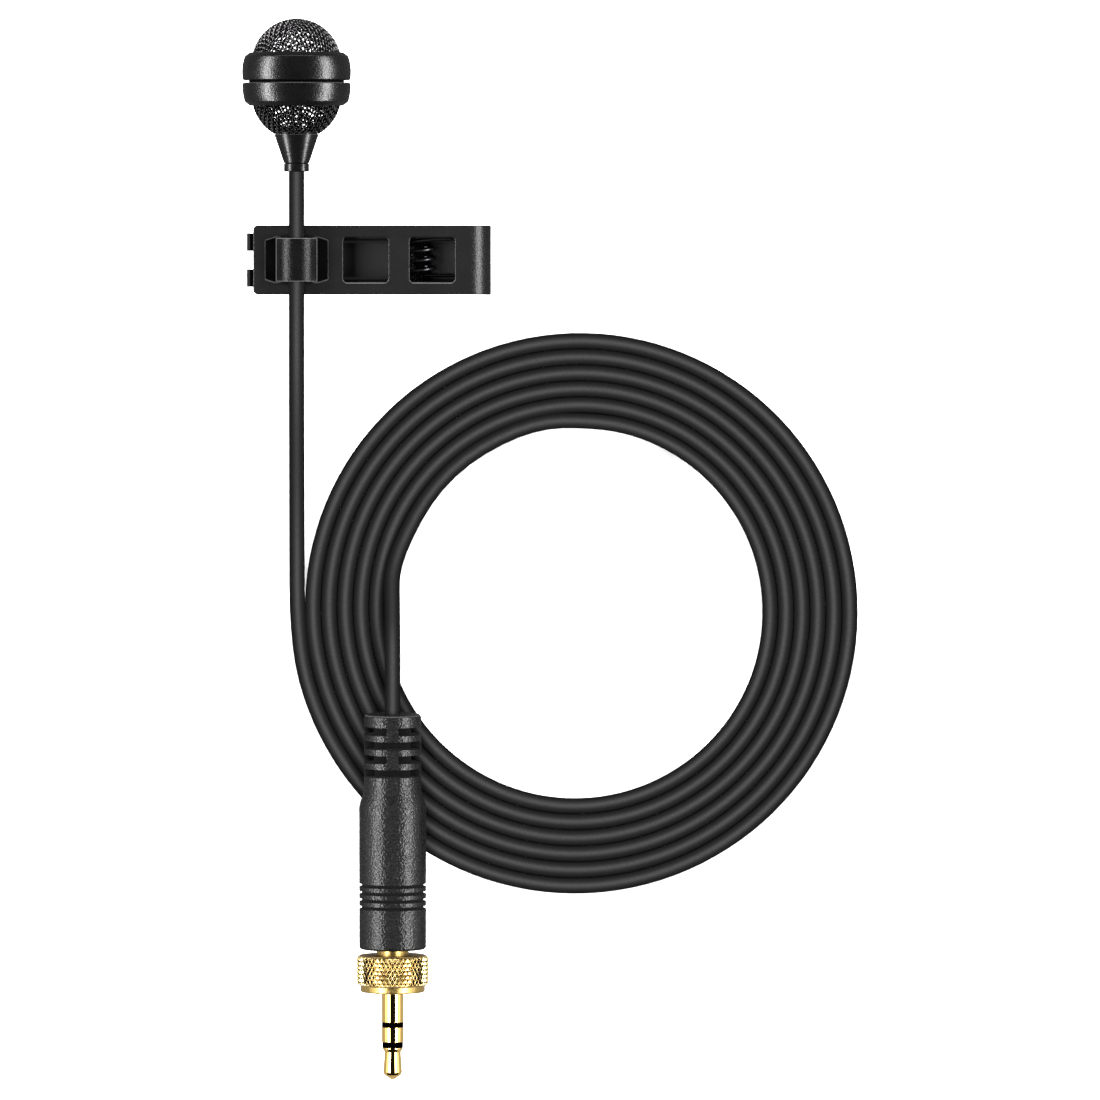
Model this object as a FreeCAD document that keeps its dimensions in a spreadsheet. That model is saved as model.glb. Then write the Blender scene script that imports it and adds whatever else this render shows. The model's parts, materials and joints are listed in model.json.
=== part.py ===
import FreeCAD, Part
import math
import os

import Sketcher

# A clip-on (lavalier) microphone: ball-ended head, clip on the cable, coiled cable and a locking
# 3.5 mm plug, laid flat on a table. X runs along the clip, Y from the plug end to the head, Z up.
# The origin is on the table, under the middle of the clip's cable saddle. Millimetres and degrees.

doc = FreeCAD.newDocument("LavalierMicrophone")
sheet = doc.addObject("Spreadsheet::Sheet", "Dims")

DRIVING_SIZES = {
    # cable
    "cable_diameter": 2.4,
    "cable_bore_gap": 0.05,
    "lead_level_end": -20.0,
    "lead_down_end": -42.0,
    "tail_straight": 9.8,
    "tail_inside": 14.0,
    # head: stations are measured along its axis, from the face where the cable enters
    "head_radius": 8.56,
    "gland_face_y": 13.96,
    "gland_length": 1.34,
    "gland_radius": 1.945,
    "gland_bevel": 0.1,
    "cone_start_radius": 1.96,
    "cone_end": 5.93,
    "cone_end_radius": 3.47,
    "cone_bore_end": 3.0,
    "cone_cavity_radius": 2.3,
    "grille_radius": 7.09,
    "grille_skin": 0.4,
    "grille_seat_radius": 6.88,
    "grille_skirt": 1.3,
    "grille_opening": 3.42,
    "rear_grille_centre": 12.17,
    "front_grille_centre": 16.85,
    "rear_ring_start": 10.46,
    "groove_start": 14.35,
    "groove_end": 14.82,
    "front_ring_end": 18.92,
    "ring_rim_radius": 7.4,
    "ring_shoulder_radius": 7.9,
    "ring_shoulder_drop": 0.6,
    "ring_barrel_radius": 11.0,
    "ring_bevel": 0.12,
    "core_radius": 7.55,
    "core_thread_radius": 6.4,
    "core_thread_length": 1.9,
    "core_web": 1.2,
    "core_wall": 0.6,
    "capsule_radius": 3.0,
    "capsule_start": 12.6,
    "capsule_length": 4.8,
    "capsule_wall": 0.3,
    "capsule_port_radius": 1.0,
    "felt_thickness": 0.3,
    "board_thickness": 0.5,
    "mount_radius": 4.6,
    "mount_length": 3.8,
    "crimp_start": 3.2,
    "crimp_length": 2.0,
    "crimp_wall": 0.5,
    "wire_radius": 0.3,
    "wire_offset": 0.6,
    # clip
    "plate_front": 6.89,
    "plate_end": 30.8,
    "plate_half_width": 5.5,
    "plate_thickness": 0.8,
    "plate_corner": 0.8,
    "curl_radius": 2.8,
    "curl_notch_half": 3.4,
    "curl_notch_depth": 0.1,
    "cut_margin": 1.0,
    "window_side": 7.15,
    "window_corner": 0.55,
    "front_window_start": 7.38,
    "rear_window_start": 17.92,
    "saddle_radius": 3.3,
    "saddle_thickness": 0.6,
    "saddle_half_length": 3.45,
    "saddle_foot": 1.3,
    "saddle_gap": 0.05,
    "slot_taper_start": 3.4,
    "slot_end": 4.95,
    "slot_half_length": 3.5,
    "slot_end_half_length": 3.05,
    "lug_inside": 4.1,
    "lug_thickness": 0.6,
    "lug_radius": 1.9,
    "pivot_x": 19.4,
    "pivot_height": 3.7,
    "pin_radius": 0.9,
    "pin_head_radius": 1.3,
    "pin_head_length": 0.3,
    "pivot_clearance": 0.05,
    "jaw_thickness": 0.5,
    "jaw_half_width": 3.95,
    "jaw_bend": 1.0,
    "jaw_inner_bend": 0.4,
    "jaw_flare_length": 3.5,
    "jaw_mouth_half_width": 4.25,
    "jaw_tail": 28.8,
    "jaw_flat_front": 2.0,
    "jaw_ramp_front": 6.2,
    "jaw_ramp_height": 1.9,
    "jaw_tip": 7.9,
    "jaw_chin_height": 4.0,
    "tooth_height": 6.9,
    "tooth_inside": 1.45,
    "tooth_gap_floor": 2.6,
    "jaw_wall_start": 6.5,
    "jaw_wall_end": 27.6,
    "jaw_wall_slope": 3.0,
    "jaw_wall_height": 3.3,
    "jaw_ear_height": 5.3,
    "jaw_ear_half": 2.0,
    "spring_radius": 2.4,
    "spring_wire": 0.7,
    "spring_pitch": 1.63,
    "spring_turns": 3,
    # coil of cable
    "coil_centre_x": 44.5,
    "coil_centre_y": -55.36,
    "coil_pitch": 2.536,
    # plug: stations are measured along its axis, from the rear face of its boot
    "plug_tilt": 4.47,
    "boot_rear_y": -72.2,
    "boot_rear_height": 9.12,
    "boot_rear_radius": 4.53,
    "boot_radius": 5.31,
    "boot_rear_round": 0.6,
    "boot_front_bevel": 0.42,
    "boot_waist_end": 12.0,
    "boot_flare_end": 14.8,
    "boot_length": 37.4,
    "boot_bore_end": 15.0,
    "boot_cavity_radius": 3.6,
    "flex_slot_first": 2.05,
    "flex_slot_pitch": 2.22,
    "flex_slot_width": 1.12,
    "flex_slot_radius": 3.45,
    "flex_bridge": 2.0,
    "rib_groove_first": 26.95,
    "rib_groove_pitch": 1.17,
    "rib_groove_width": 0.3,
    "rib_groove_depth": 0.28,
    "stem_start": 30.0,
    "stem_radius": 2.55,
    "stem_bore": 1.55,
    "stem_end": 41.9,
    "nut_start": 38.2,
    "nut_shoulder": 43.1,
    "nut_end": 44.2,
    "nut_radius": 5.76,
    "nut_collar_radius": 5.13,
    "nut_floor": 1.4,
    "nut_thread_radius": 4.0,
    "nut_clearance": 0.05,
    "nut_bevel": 0.3,
    "keeper_radius": 3.4,
    "keeper_gap": 0.2,
    "keeper_length": 0.6,
    "pin_radius_of_plug": 1.75,
    "sleeve_start": 36.0,
    "sleeve_end": 48.7,
    "ring_contact_start": 49.5,
    "ring_contact_end": 51.85,
    "insulator_radius": 1.58,
    "sleeve_bore": 1.35,
    "ring_tube_radius": 1.05,
    "ring_tube_bore": 0.75,
    "tip_rod_radius": 0.45,
    "tip_start": 52.75,
    "tip_start_radius": 1.6,
    "tip_waist": 53.45,
    "tip_waist_radius": 1.29,
    "tip_bulge": 56.75,
    "tip_bulge_radius": 1.5,
    "tip_end": 57.8,
    "tip_end_radius": 0.44,
    "tip_rod_start": 32.4,
    "ring_tube_start": 34.0,
    "terminal_thickness": 0.4,
    "tip_terminal_radius": 1.5,
    "ring_terminal_radius": 2.1,
    "insulator_overhang": 0.4,
    "plug_crimp_gap": 0.5,
    "plug_crimp_length": 3.5,
    "plug_wire_offset": 1.25,
}

COIL_TURNS = 5.75      # whole strands, from the lead's end to where the tail lifts off
TAIL_STEP = 30.0       # degrees of the innermost turn between two points of the tail's route
TAIL_TURNS = 5.9       # where on the spiral the tail's radius is taken
TAIL_HEIGHTS = (1.2, 1.8, 4.0)    # of its points, as it lifts off the table


# ---------------------------------------------------------------- sizes and expressions


class Size:
    """A size worked out from the sheet: its number, and the expression that binds it."""

    def __init__(self, value, text):
        self.value = value
        self.text = text

    def __add__(self, other):
        other = as_size(other)
        return Size(self.value + other.value, f"({self.text} + {other.text})")

    def __sub__(self, other):
        other = as_size(other)
        return Size(self.value - other.value, f"({self.text} - {other.text})")

    def __mul__(self, other):
        other = as_size(other)
        return Size(self.value * other.value, f"({self.text} * {other.text})")

    def __truediv__(self, other):
        other = as_size(other)
        return Size(self.value / other.value, f"({self.text} / {other.text})")

    def __neg__(self):
        return Size(-self.value, f"(0 - {self.text})")


def as_size(number):
    """A plain number as a Size; a Size as it is."""
    return number if isinstance(number, Size) else Size(float(number), repr(float(number)))


def other_side(hypotenuse, side):
    """The third side of a right-angled triangle."""
    hypotenuse, side = as_size(hypotenuse), as_size(side)
    value = math.sqrt(hypotenuse.value**2 - side.value**2)
    return Size(value, f"sqrt({hypotenuse.text}^2 - {side.text}^2)")


class Dims:
    """The sheet's cells as attributes."""


def fill_sheet():
    """One row for each driving size: its name, its number and its alias."""
    dims = Dims()
    for row, (name, value) in enumerate(DRIVING_SIZES.items(), start=1):
        sheet.set(f"A{row}", name)
        sheet.set(f"B{row}", str(value))
        sheet.setAlias(f"B{row}", name)
        setattr(dims, name, Size(float(value), f"Dims.{name}"))
    doc.recompute()
    return dims


dim = fill_sheet()
cable_radius = dim.cable_diameter / 2
cable_bore = cable_radius + dim.cable_bore_gap
HORIZONTAL = FreeCAD.Vector(1, 0, 0)
AXIS_TO_Y = FreeCAD.Rotation(HORIZONTAL, -90)
AXIS_TO_PLUG = FreeCAD.Rotation(HORIZONTAL, 90 + dim.plug_tilt.value)


# ---------------------------------------------------------------- building helpers


def bind(item, name, size):
    """Binds a property to a size of the sheet."""
    item.setExpression(name, as_size(size).text)


def place(item, x=0, y=0, z=0, rotation=None):
    """Gives a sub-part its Placement, with the position bound to the sheet."""
    x, y, z = as_size(x), as_size(y), as_size(z)
    base = FreeCAD.Vector(x.value, y.value, z.value)
    item.Placement = FreeCAD.Placement(base, rotation or FreeCAD.Rotation())
    for letter, size in (("x", x), ("y", y), ("z", z)):
        bind(item, f"Placement.Base.{letter}", size)
    return item


def place_on_head(item):
    return place(item, 0, dim.gland_face_y, dim.head_radius, AXIS_TO_Y)


def place_on_plug(item):
    item = place(item, plug_x, dim.boot_rear_y, dim.boot_rear_height, AXIS_TO_PLUG)
    bind(item, "Placement.Rotation.Angle", dim.plug_tilt + 90)
    return item


def new_body(label):
    body = doc.addObject("PartDesign::Body", label)
    body.Label = label
    return body


def origin_plane(body, role):
    return next(f for f in body.Origin.OriginFeatures if f.Role == role)


def arc_between(start, end, radius):
    """A circular arc that leaves start to the left of the straight line if radius is positive."""
    chord = end - start
    middle = (start + end) / 2
    left = FreeCAD.Vector(-chord.y, chord.x, 0).normalize()
    drop = math.sqrt(max(radius**2 - (chord.Length / 2) ** 2, 0))
    centre = middle - left * math.copysign(drop, radius)
    first = math.atan2(start.y - centre.y, start.x - centre.x)
    last = math.atan2(end.y - centre.y, end.x - centre.x)
    circle = Part.Circle(centre, FreeCAD.Vector(0, 0, 1), abs(radius))
    if radius > 0:
        return Part.ArcOfCircle(circle, last, first), 2, 1
    return Part.ArcOfCircle(circle, first, last), 1, 2


def outline(body, role, corners, name="Outline"):
    """A closed sketch on one of the body's origin planes. A corner is (x, y), or (x, y, radius)
    where an arc of that radius leads to the next corner. Every corner is bound to the sheet."""
    sketch = body.newObject("Sketcher::SketchObject", name)
    sketch.AttachmentSupport = (origin_plane(body, role), [""])
    sketch.MapMode = "FlatFace"
    corners = [tuple(as_size(value) for value in corner) for corner in corners]
    points = [FreeCAD.Vector(corner[0].value, corner[1].value, 0) for corner in corners]
    ends = []
    for index, corner in enumerate(corners):
        start, end = points[index], points[(index + 1) % len(points)]
        if len(corner) == 2:
            sketch.addGeometry(Part.LineSegment(start, end), False)
            ends.append((1, 2))
            continue
        arc, first, last = arc_between(start, end, corner[2].value)
        sketch.addGeometry(arc, False)
        ends.append((first, last))
        radius = Size(abs(corner[2].value), f"abs({corner[2].text})")
        number = sketch.addConstraint(Sketcher.Constraint("Radius", index, radius.value))
        sketch.setExpression(f"Constraints[{number}]", radius.text)
    for index, corner in enumerate(corners):
        after = (index + 1) % len(corners)
        joined = Sketcher.Constraint("Coincident", index, ends[index][1], after, ends[after][0])
        sketch.addConstraint(joined)
        for kind, size in (("DistanceX", corner[0]), ("DistanceY", corner[1])):
            fixed = Sketcher.Constraint(kind, index, ends[index][0], size.value)
            number = sketch.addConstraint(fixed)
            sketch.setExpression(f"Constraints[{number}]", size.text)
    return sketch


def revolved(label, corners):
    """A turned piece: the outline's x is the radius, and its y the station along the axis."""
    body = new_body(label)
    sketch = outline(body, "XZ_Plane", corners)
    turning = body.newObject("PartDesign::Revolution", "Revolution")
    turning.Profile = sketch
    turning.ReferenceAxis = (sketch, ["V_Axis"])
    turning.Angle = 360
    return body


def tube(label, inner, outer, start, end):
    """A turned piece with straight walls."""
    return revolved(label, [(inner, start), (outer, start), (outer, end), (inner, end)])


def rod(label, radius, start, end):
    return tube(label, 0, radius, start, end)


def padded(body, role, corners, length, name="Pad"):
    """A plate of the outline's shape, half of its length on each side of the plane."""
    sketch = outline(body, role, corners, name + "Outline")
    pad = body.newObject("PartDesign::Pad", name)
    pad.Profile = sketch
    pad.SideType = "Symmetric"
    bind(pad, "Length", length)
    return pad


def pocketed(body, role, corners, name):
    """A hole of the outline's shape right through the body."""
    sketch = outline(body, role, corners, name + "Outline")
    pocket = body.newObject("PartDesign::Pocket", name)
    pocket.Profile = sketch
    pocket.SideType = "Symmetric"
    pocket.Type = "ThroughAll"
    return pocket


def rectangle(left, right, low, high):
    return [(left, low), (right, low), (right, high), (left, high)]


def rounded_rectangle(left, right, low, high, corner):
    """A rectangle with round corners, anticlockwise from its lower left."""
    turn = -as_size(corner)
    return [
        (left + corner, low), (right - corner, low, turn),
        (right, low + corner), (right, high - corner, turn),
        (right - corner, high), (left + corner, high, turn),
        (left, high - corner), (left, low + corner, turn),
    ]


def primitive(kind, name, sizes, x=0, y=0, z=0, rotation=None):
    """A Part primitive with its sizes and position bound to the sheet."""
    item = doc.addObject(f"Part::{kind}", name)
    for key, size in sizes.items():
        bind(item, key, size)
    return place(item, x, y, z, rotation)


def boolean(kind, name, base, tool):
    item = doc.addObject(f"Part::{kind}", name)
    item.Base, item.Tool = base, tool
    return item


def fused(name, shapes):
    item = doc.addObject("Part::MultiFuse", name)
    item.Shapes = shapes
    return item


# ---------------------------------------------------------------- head


def grille(label, centre, towards):
    """A dome of wire cloth with a skirt that sits inside its ring; towards is 1 or -1."""
    outer, skin, seat = dim.grille_radius, dim.grille_skin, dim.grille_seat_radius
    rim = centre + other_side(outer, seat) * towards
    inner_rim = centre + other_side(outer - skin, seat - skin) * towards
    skirt = rim - dim.grille_skirt * towards
    opening = dim.grille_opening if towards < 0 else as_size(0)
    top = centre + other_side(outer, opening) * towards
    inner_top = centre + other_side(outer - skin, opening) * towards
    return revolved(label, [
        (seat, skirt), (seat, rim, -outer * towards), (opening, top),
        (opening, inner_top, (outer - skin) * towards), (seat - skin, inner_rim),
        (seat - skin, skirt),
    ])


def ring(label, start, end, towards):
    """A barrel-shaped ring, widest at the groove end (start); towards is 1 or -1."""
    shoulder = end - dim.ring_shoulder_drop * towards
    bevel = dim.ring_bevel
    return revolved(label, [
        (dim.grille_seat_radius, start), (dim.head_radius - bevel, start),
        (dim.head_radius, start + bevel * towards, -dim.ring_barrel_radius * towards),
        (dim.ring_shoulder_radius, shoulder), (dim.ring_rim_radius, end),
        (dim.grille_seat_radius, end),
    ])


def core_ring():
    """The threaded ring that the two halves of the head screw onto, with a web for the capsule."""
    middle = (dim.groove_start + dim.groove_end) / 2
    low, high = middle - dim.core_web / 2, middle + dim.core_web / 2
    rim, thread = dim.core_radius, dim.core_thread_radius
    bore = thread - dim.core_wall
    return revolved("core_ring", [
        (dim.mount_radius, low), (bore, low), (bore, low - dim.core_thread_length),
        (thread, low - dim.core_thread_length), (thread, dim.groove_start),
        (rim, dim.groove_start), (rim, dim.groove_end),
        (thread, dim.groove_end), (thread, high + dim.core_thread_length),
        (bore, high + dim.core_thread_length), (bore, high), (dim.mount_radius, high),
    ])


def neck_cone():
    """The tapered neck, bored for the cable and hollow above it for the crimp."""
    bore = cable_bore
    return revolved("neck_cone", [
        (bore, dim.gland_length), (dim.cone_start_radius, dim.gland_length),
        (dim.cone_end_radius, dim.cone_end), (dim.cone_cavity_radius, dim.cone_end),
        (dim.cone_cavity_radius, dim.cone_bore_end), (bore, dim.cone_bore_end),
    ])


def cable_gland():
    """The small collar that closes round the cable."""
    radius, bevel, length = dim.gland_radius, dim.gland_bevel, dim.gland_length
    return revolved("cable_gland", [
        (cable_bore, 0), (radius - bevel, 0), (radius, bevel), (radius, length),
        (cable_bore, length),
    ])


def capsule():
    """The electret capsule and what holds it: can, felt, board and rubber mount."""
    start, end = dim.capsule_start, dim.capsule_start + dim.capsule_length
    radius, wall = dim.capsule_radius, dim.capsule_wall
    can = revolved("capsule_can", [
        (radius - wall, start), (radius, start), (radius, end), (dim.capsule_port_radius, end),
        (dim.capsule_port_radius, end - wall), (radius - wall, end - wall),
    ])
    felt = rod("capsule_felt", radius - wall, end - wall - dim.felt_thickness, end - wall)
    board = rod("capsule_board", radius - wall, start, start + dim.board_thickness)
    mount_start = start + (dim.capsule_length - dim.mount_length) / 2
    mount = tube("capsule_mount", radius, dim.mount_radius, mount_start,
                 mount_start + dim.mount_length)
    return [can, felt, board, mount]


def head_wiring():
    """The crimp on the cable's end, and the two wires from it to the capsule's board."""
    start, end = dim.crimp_start, dim.crimp_start + dim.crimp_length
    crimp = tube("strain_crimp", cable_radius, cable_radius + dim.crimp_wall, start, end)
    place_on_head(crimp)
    for label, side in (("signal_wire", 1), ("ground_wire", -1)):
        wire = rod(label, dim.wire_radius, end, dim.capsule_start)
        place(wire, dim.wire_offset * side, dim.gland_face_y, dim.head_radius, AXIS_TO_Y)


def head():
    pieces = [
        grille("front_grille", dim.front_grille_centre, 1),
        grille("rear_grille", dim.rear_grille_centre, -1),
        ring("front_ring", dim.groove_end, dim.front_ring_end, 1),
        ring("rear_ring", dim.groove_start, dim.rear_ring_start, -1),
        core_ring(),
        neck_cone(),
        cable_gland(),
    ]
    for piece in pieces + capsule():
        place_on_head(piece)
    head_wiring()


# ---------------------------------------------------------------- clip

plate_top = dim.head_radius - cable_radius - dim.saddle_gap
plate_bottom = plate_top - dim.plate_thickness


def clip_front_plate():
    """The upper leaf: a plate with a curled end, two windows, two saddle slots and two pivot lugs."""
    body = new_body("ClipLeaf")
    curl, thickness = dim.curl_radius, dim.plate_thickness
    curl_start = dim.plate_end - curl
    padded(body, "XZ_Plane", [
        (-dim.plate_front, plate_bottom), (curl_start, plate_bottom, curl - thickness),
        (dim.plate_end - thickness, plate_top - curl), (dim.plate_end, plate_top - curl, -curl),
        (curl_start, plate_top), (-dim.plate_front, plate_top),
    ], dim.plate_half_width * 2, "Leaf")
    for name, start in (("FrontWindow", dim.front_window_start),
                        ("RearWindow", dim.rear_window_start)):
        half = dim.window_side / 2
        pocketed(body, "XY_Plane", rounded_rectangle(
            start, start + dim.window_side, -half, half, dim.window_corner), name)
    for name, side in (("RightSlot", 1), ("LeftSlot", -1)):
        inner = dim.saddle_radius - dim.saddle_thickness - dim.saddle_gap
        taper_start = dim.slot_taper_start
        long_half, short_half = dim.slot_half_length, dim.slot_end_half_length
        corners = [
            (inner * side, -long_half), (taper_start * side, -long_half),
            (dim.slot_end * side, -short_half), (dim.slot_end * side, short_half),
            (taper_start * side, long_half), (inner * side, long_half),
        ]
        pocketed(body, "XY_Plane", corners, name)
    notch = dim.plate_end - dim.curl_notch_depth
    pocketed(body, "XY_Plane", rectangle(
        notch, dim.plate_end + dim.cut_margin, -dim.curl_notch_half, dim.curl_notch_half), "CurlNotch")
    doc.recompute()
    corner_edges = [
        f"Edge{number}" for number, edge in enumerate(body.Shape.Edges, start=1)
        if all(abs(v.X + dim.plate_front.value) < 1e-6 for v in edge.Vertexes)
        and abs(edge.Length - dim.plate_thickness.value) < 1e-6
    ]
    cut_leaf = body.Tip
    rounding = body.newObject("PartDesign::Fillet", "CornerRound")
    rounding.Base = (cut_leaf, corner_edges)
    bind(rounding, "Radius", dim.plate_corner)
    body.Tip = rounding
    return fused("clip_front_plate", [body, lug("LugLeft", 1), lug("LugRight", -1)])


def lug(name, side):
    """An ear under the leaf that carries one end of the pivot pin."""
    low = dim.lug_inside if side > 0 else -dim.lug_inside - dim.lug_thickness
    turned = FreeCAD.Rotation(HORIZONTAL, -90)
    block = primitive("Box", name + "Block", {
        "Length": dim.lug_radius * 2, "Width": dim.lug_thickness,
        "Height": plate_bottom - dim.pivot_height,
    }, dim.pivot_x - dim.lug_radius, low, dim.pivot_height)
    eye = primitive("Cylinder", name + "Eye", {
        "Radius": dim.lug_radius, "Height": dim.lug_thickness,
    }, dim.pivot_x, low, dim.pivot_height, turned)
    hole = primitive("Cylinder", name + "Hole", {
        "Radius": dim.pin_radius, "Height": dim.lug_thickness + dim.cut_margin * 2,
    }, dim.pivot_x, low - dim.cut_margin, dim.pivot_height, turned)
    return boolean("Cut", name, fused(name + "Blank", [block, eye]), hole)


def cable_saddle():
    """The arched strap over the cable, its feet hooked under the leaf through the slots."""
    body = new_body("cable_saddle")
    outer, inner = dim.saddle_radius, dim.saddle_radius - dim.saddle_thickness
    foot = plate_bottom - dim.saddle_thickness
    padded(body, "XZ_Plane", [
        (outer, foot), (outer, plate_top, -outer), (0, plate_top + outer, -outer),
        (-outer, plate_top), (-outer, foot), (-dim.saddle_foot, foot),
        (-dim.saddle_foot, plate_bottom), (-inner, plate_bottom), (-inner, plate_top, inner),
        (0, plate_top + inner, inner), (inner, plate_top), (inner, plate_bottom),
        (dim.saddle_foot, plate_bottom), (dim.saddle_foot, foot),
    ], dim.saddle_half_length * 2, "Strap")
    return body


def clip_rear_jaw():
    """The lower leaf: a bent-up channel whose front end curves up into two teeth."""
    pivot = primitive("Cylinder", "JawPivotHole", {
        "Radius": dim.pin_radius + dim.pivot_clearance, "Height": dim.jaw_half_width * 4,
    }, dim.pivot_x, -dim.jaw_half_width * 2, dim.pivot_height, FreeCAD.Rotation(HORIZONTAL, -90))
    blank = fused("JawBlank", [jaw_floor(), jaw_channel()])
    return boolean("Cut", "clip_rear_jaw", blank, pivot)


def jaw_floor():
    """The jaw's flat sheet, with its ramp, its chin and its two teeth."""
    body = new_body("JawFloor")
    skin, tip, bend = dim.jaw_thickness, dim.jaw_tip, dim.jaw_inner_bend
    padded(body, "XZ_Plane", [
        (-dim.jaw_flat_front, 0), (dim.jaw_tail, 0), (dim.jaw_tail, skin),
        (-dim.jaw_flat_front, skin), (-dim.jaw_ramp_front + bend, dim.jaw_ramp_height + bend),
        (-tip + skin, dim.jaw_chin_height + bend), (-tip + skin, dim.tooth_height),
        (-tip, dim.tooth_height), (-tip, dim.jaw_chin_height),
        (-dim.jaw_ramp_front, dim.jaw_ramp_height),
    ], dim.jaw_mouth_half_width * 2, "Floor")
    beyond = dim.jaw_mouth_half_width * 2
    flare_end = -dim.jaw_ramp_front + dim.jaw_flare_length
    flat = dim.jaw_half_width - dim.jaw_bend - skin
    for side, name in ((1, "Left"), (-1, "Right")):
        pocketed(body, "XY_Plane", [
            (0, dim.jaw_half_width * side), (dim.jaw_tail * 2, dim.jaw_half_width * side),
            (dim.jaw_tail * 2, beyond * side), (flare_end, beyond * side),
            (flare_end, dim.jaw_mouth_half_width * side),
        ], name + "Flare")
        pocketed(body, "XY_Plane", [
            (dim.jaw_wall_start, flat * side), (dim.jaw_wall_end, flat * side),
            (dim.jaw_wall_end, beyond * side), (dim.jaw_wall_start, beyond * side),
        ], name + "Bend")
    pocketed(body, "YZ_Plane", rectangle(
        -dim.tooth_inside, dim.tooth_inside, dim.tooth_gap_floor, dim.tooth_height * 2),
        "ToothGap")
    return body


def jaw_channel():
    """The part of the jaw whose sides are bent up, with two ears round the pin."""
    body = new_body("JawChannel")
    skin, half, bend = dim.jaw_thickness, dim.jaw_half_width, dim.jaw_bend
    ear, slope = dim.jaw_ear_half, dim.jaw_wall_slope
    padded(body, "XZ_Plane", [
        (dim.jaw_wall_start, 0), (dim.jaw_wall_end, 0), (dim.jaw_wall_end, skin),
        (dim.pivot_x + ear, dim.jaw_ear_height), (dim.pivot_x - ear, dim.jaw_ear_height),
        (dim.pivot_x - ear * 2, dim.jaw_wall_height),
        (dim.jaw_wall_start + slope, dim.jaw_wall_height), (dim.jaw_wall_start, skin),
    ], half * 2, "Walls")
    channel, above = half - skin, dim.jaw_ear_height * 2
    pocketed(body, "YZ_Plane", [
        (-channel, above), (-channel, skin + bend, -bend), (-channel + bend, skin),
        (channel - bend, skin, -bend), (channel, skin + bend), (channel, above),
    ], "Channel")
    outside = bend + skin
    for side, name in ((1, "Left"), (-1, "Right")):
        pocketed(body, "YZ_Plane", [
            ((half - outside) * side, 0, -outside * side), (half * side, outside),
            (half * 2 * side, outside), (half * 2 * side, -outside),
            ((half - outside) * side, -outside),
        ], name + "OutsideBend")
    return body


def pivot_pin():
    """The riveted pin, its two heads outside the lugs."""
    reach = dim.lug_inside + dim.lug_thickness
    pin = revolved("pivot_pin", [
        (0, -reach - dim.pin_head_length), (dim.pin_head_radius, -reach - dim.pin_head_length),
        (dim.pin_head_radius, -reach), (dim.pin_radius, -reach), (dim.pin_radius, reach),
        (dim.pin_head_radius, reach), (dim.pin_head_radius, reach + dim.pin_head_length),
        (0, reach + dim.pin_head_length),
    ])
    return place(pin, dim.pivot_x, 0, dim.pivot_height, AXIS_TO_Y)


def torsion_spring():
    """The spring's coil of wire, round the pin."""
    radius, wire = dim.spring_radius, dim.spring_wire
    half = dim.spring_pitch * dim.spring_turns / 2
    helix = doc.addObject("Part::Helix", "SpringHelix")
    bind(helix, "Pitch", dim.spring_pitch)
    bind(helix, "Height", dim.spring_pitch * dim.spring_turns)
    bind(helix, "Radius", radius)
    section = doc.addObject("Part::Circle", "SpringSection")
    bind(section, "Radius", wire / 2)
    place(section, radius, 0, 0, FreeCAD.Rotation(HORIZONTAL, 90))
    coil = doc.addObject("Part::Sweep", "torsion_spring")
    coil.Sections = [section]
    coil.Spine = (helix, [])
    coil.Solid = True
    coil.Frenet = True
    return place(coil, dim.pivot_x, -half, dim.pivot_height, AXIS_TO_Y)


def clip():
    clip_front_plate()
    cable_saddle()
    clip_rear_jaw()
    pivot_pin()
    torsion_spring()


# ---------------------------------------------------------------- coil of cable


def strand_radius(turns):
    """Radius of the coil's strand after this many turns from the lead's end."""
    return dim.coil_centre_x - dim.coil_pitch * turns


plug_x = dim.coil_centre_x - strand_radius(6)


def on_coil(turns, offset=0.0):
    """A point of the spiral, offset outwards. It starts at the left and runs anticlockwise."""
    angle = math.pi + 2 * math.pi * turns
    reach = strand_radius(turns).value + offset
    return FreeCAD.Vector(
        dim.coil_centre_x.value + reach * math.cos(angle),
        dim.coil_centre_y.value + reach * math.sin(angle), 0)


def spiral_edges(first, last, offset):
    """Quarter-turn arcs along the spiral."""
    steps = round((last - first) * 4)
    edges = []
    for step in range(steps):
        start = first + step / 4
        points = [on_coil(start + part, offset) for part in (0, 0.125, 0.25)]
        edges.append(Part.Arc(*points).toShape())
    return edges


def cable_coil():
    """The flat coil as one closed solid, with a step where the lead joins it and where the tail leaves."""
    radius = cable_radius.value
    outer = spiral_edges(0, 1, radius)
    outer.append(Part.makeLine(on_coil(1, radius), on_coil(0, radius)))
    inner_start = COIL_TURNS - 1
    inner = spiral_edges(inner_start, COIL_TURNS, -radius)
    inner.append(Part.makeLine(on_coil(COIL_TURNS, -radius), on_coil(inner_start, -radius)))
    face = Part.Face([Part.Wire(outer), Part.Wire(inner)])
    face.validate()
    coil = doc.addObject("Part::Feature", "cable_coil")
    coil.Shape = face.extrude(FreeCAD.Vector(0, 0, dim.cable_diameter.value))
    return coil


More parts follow.
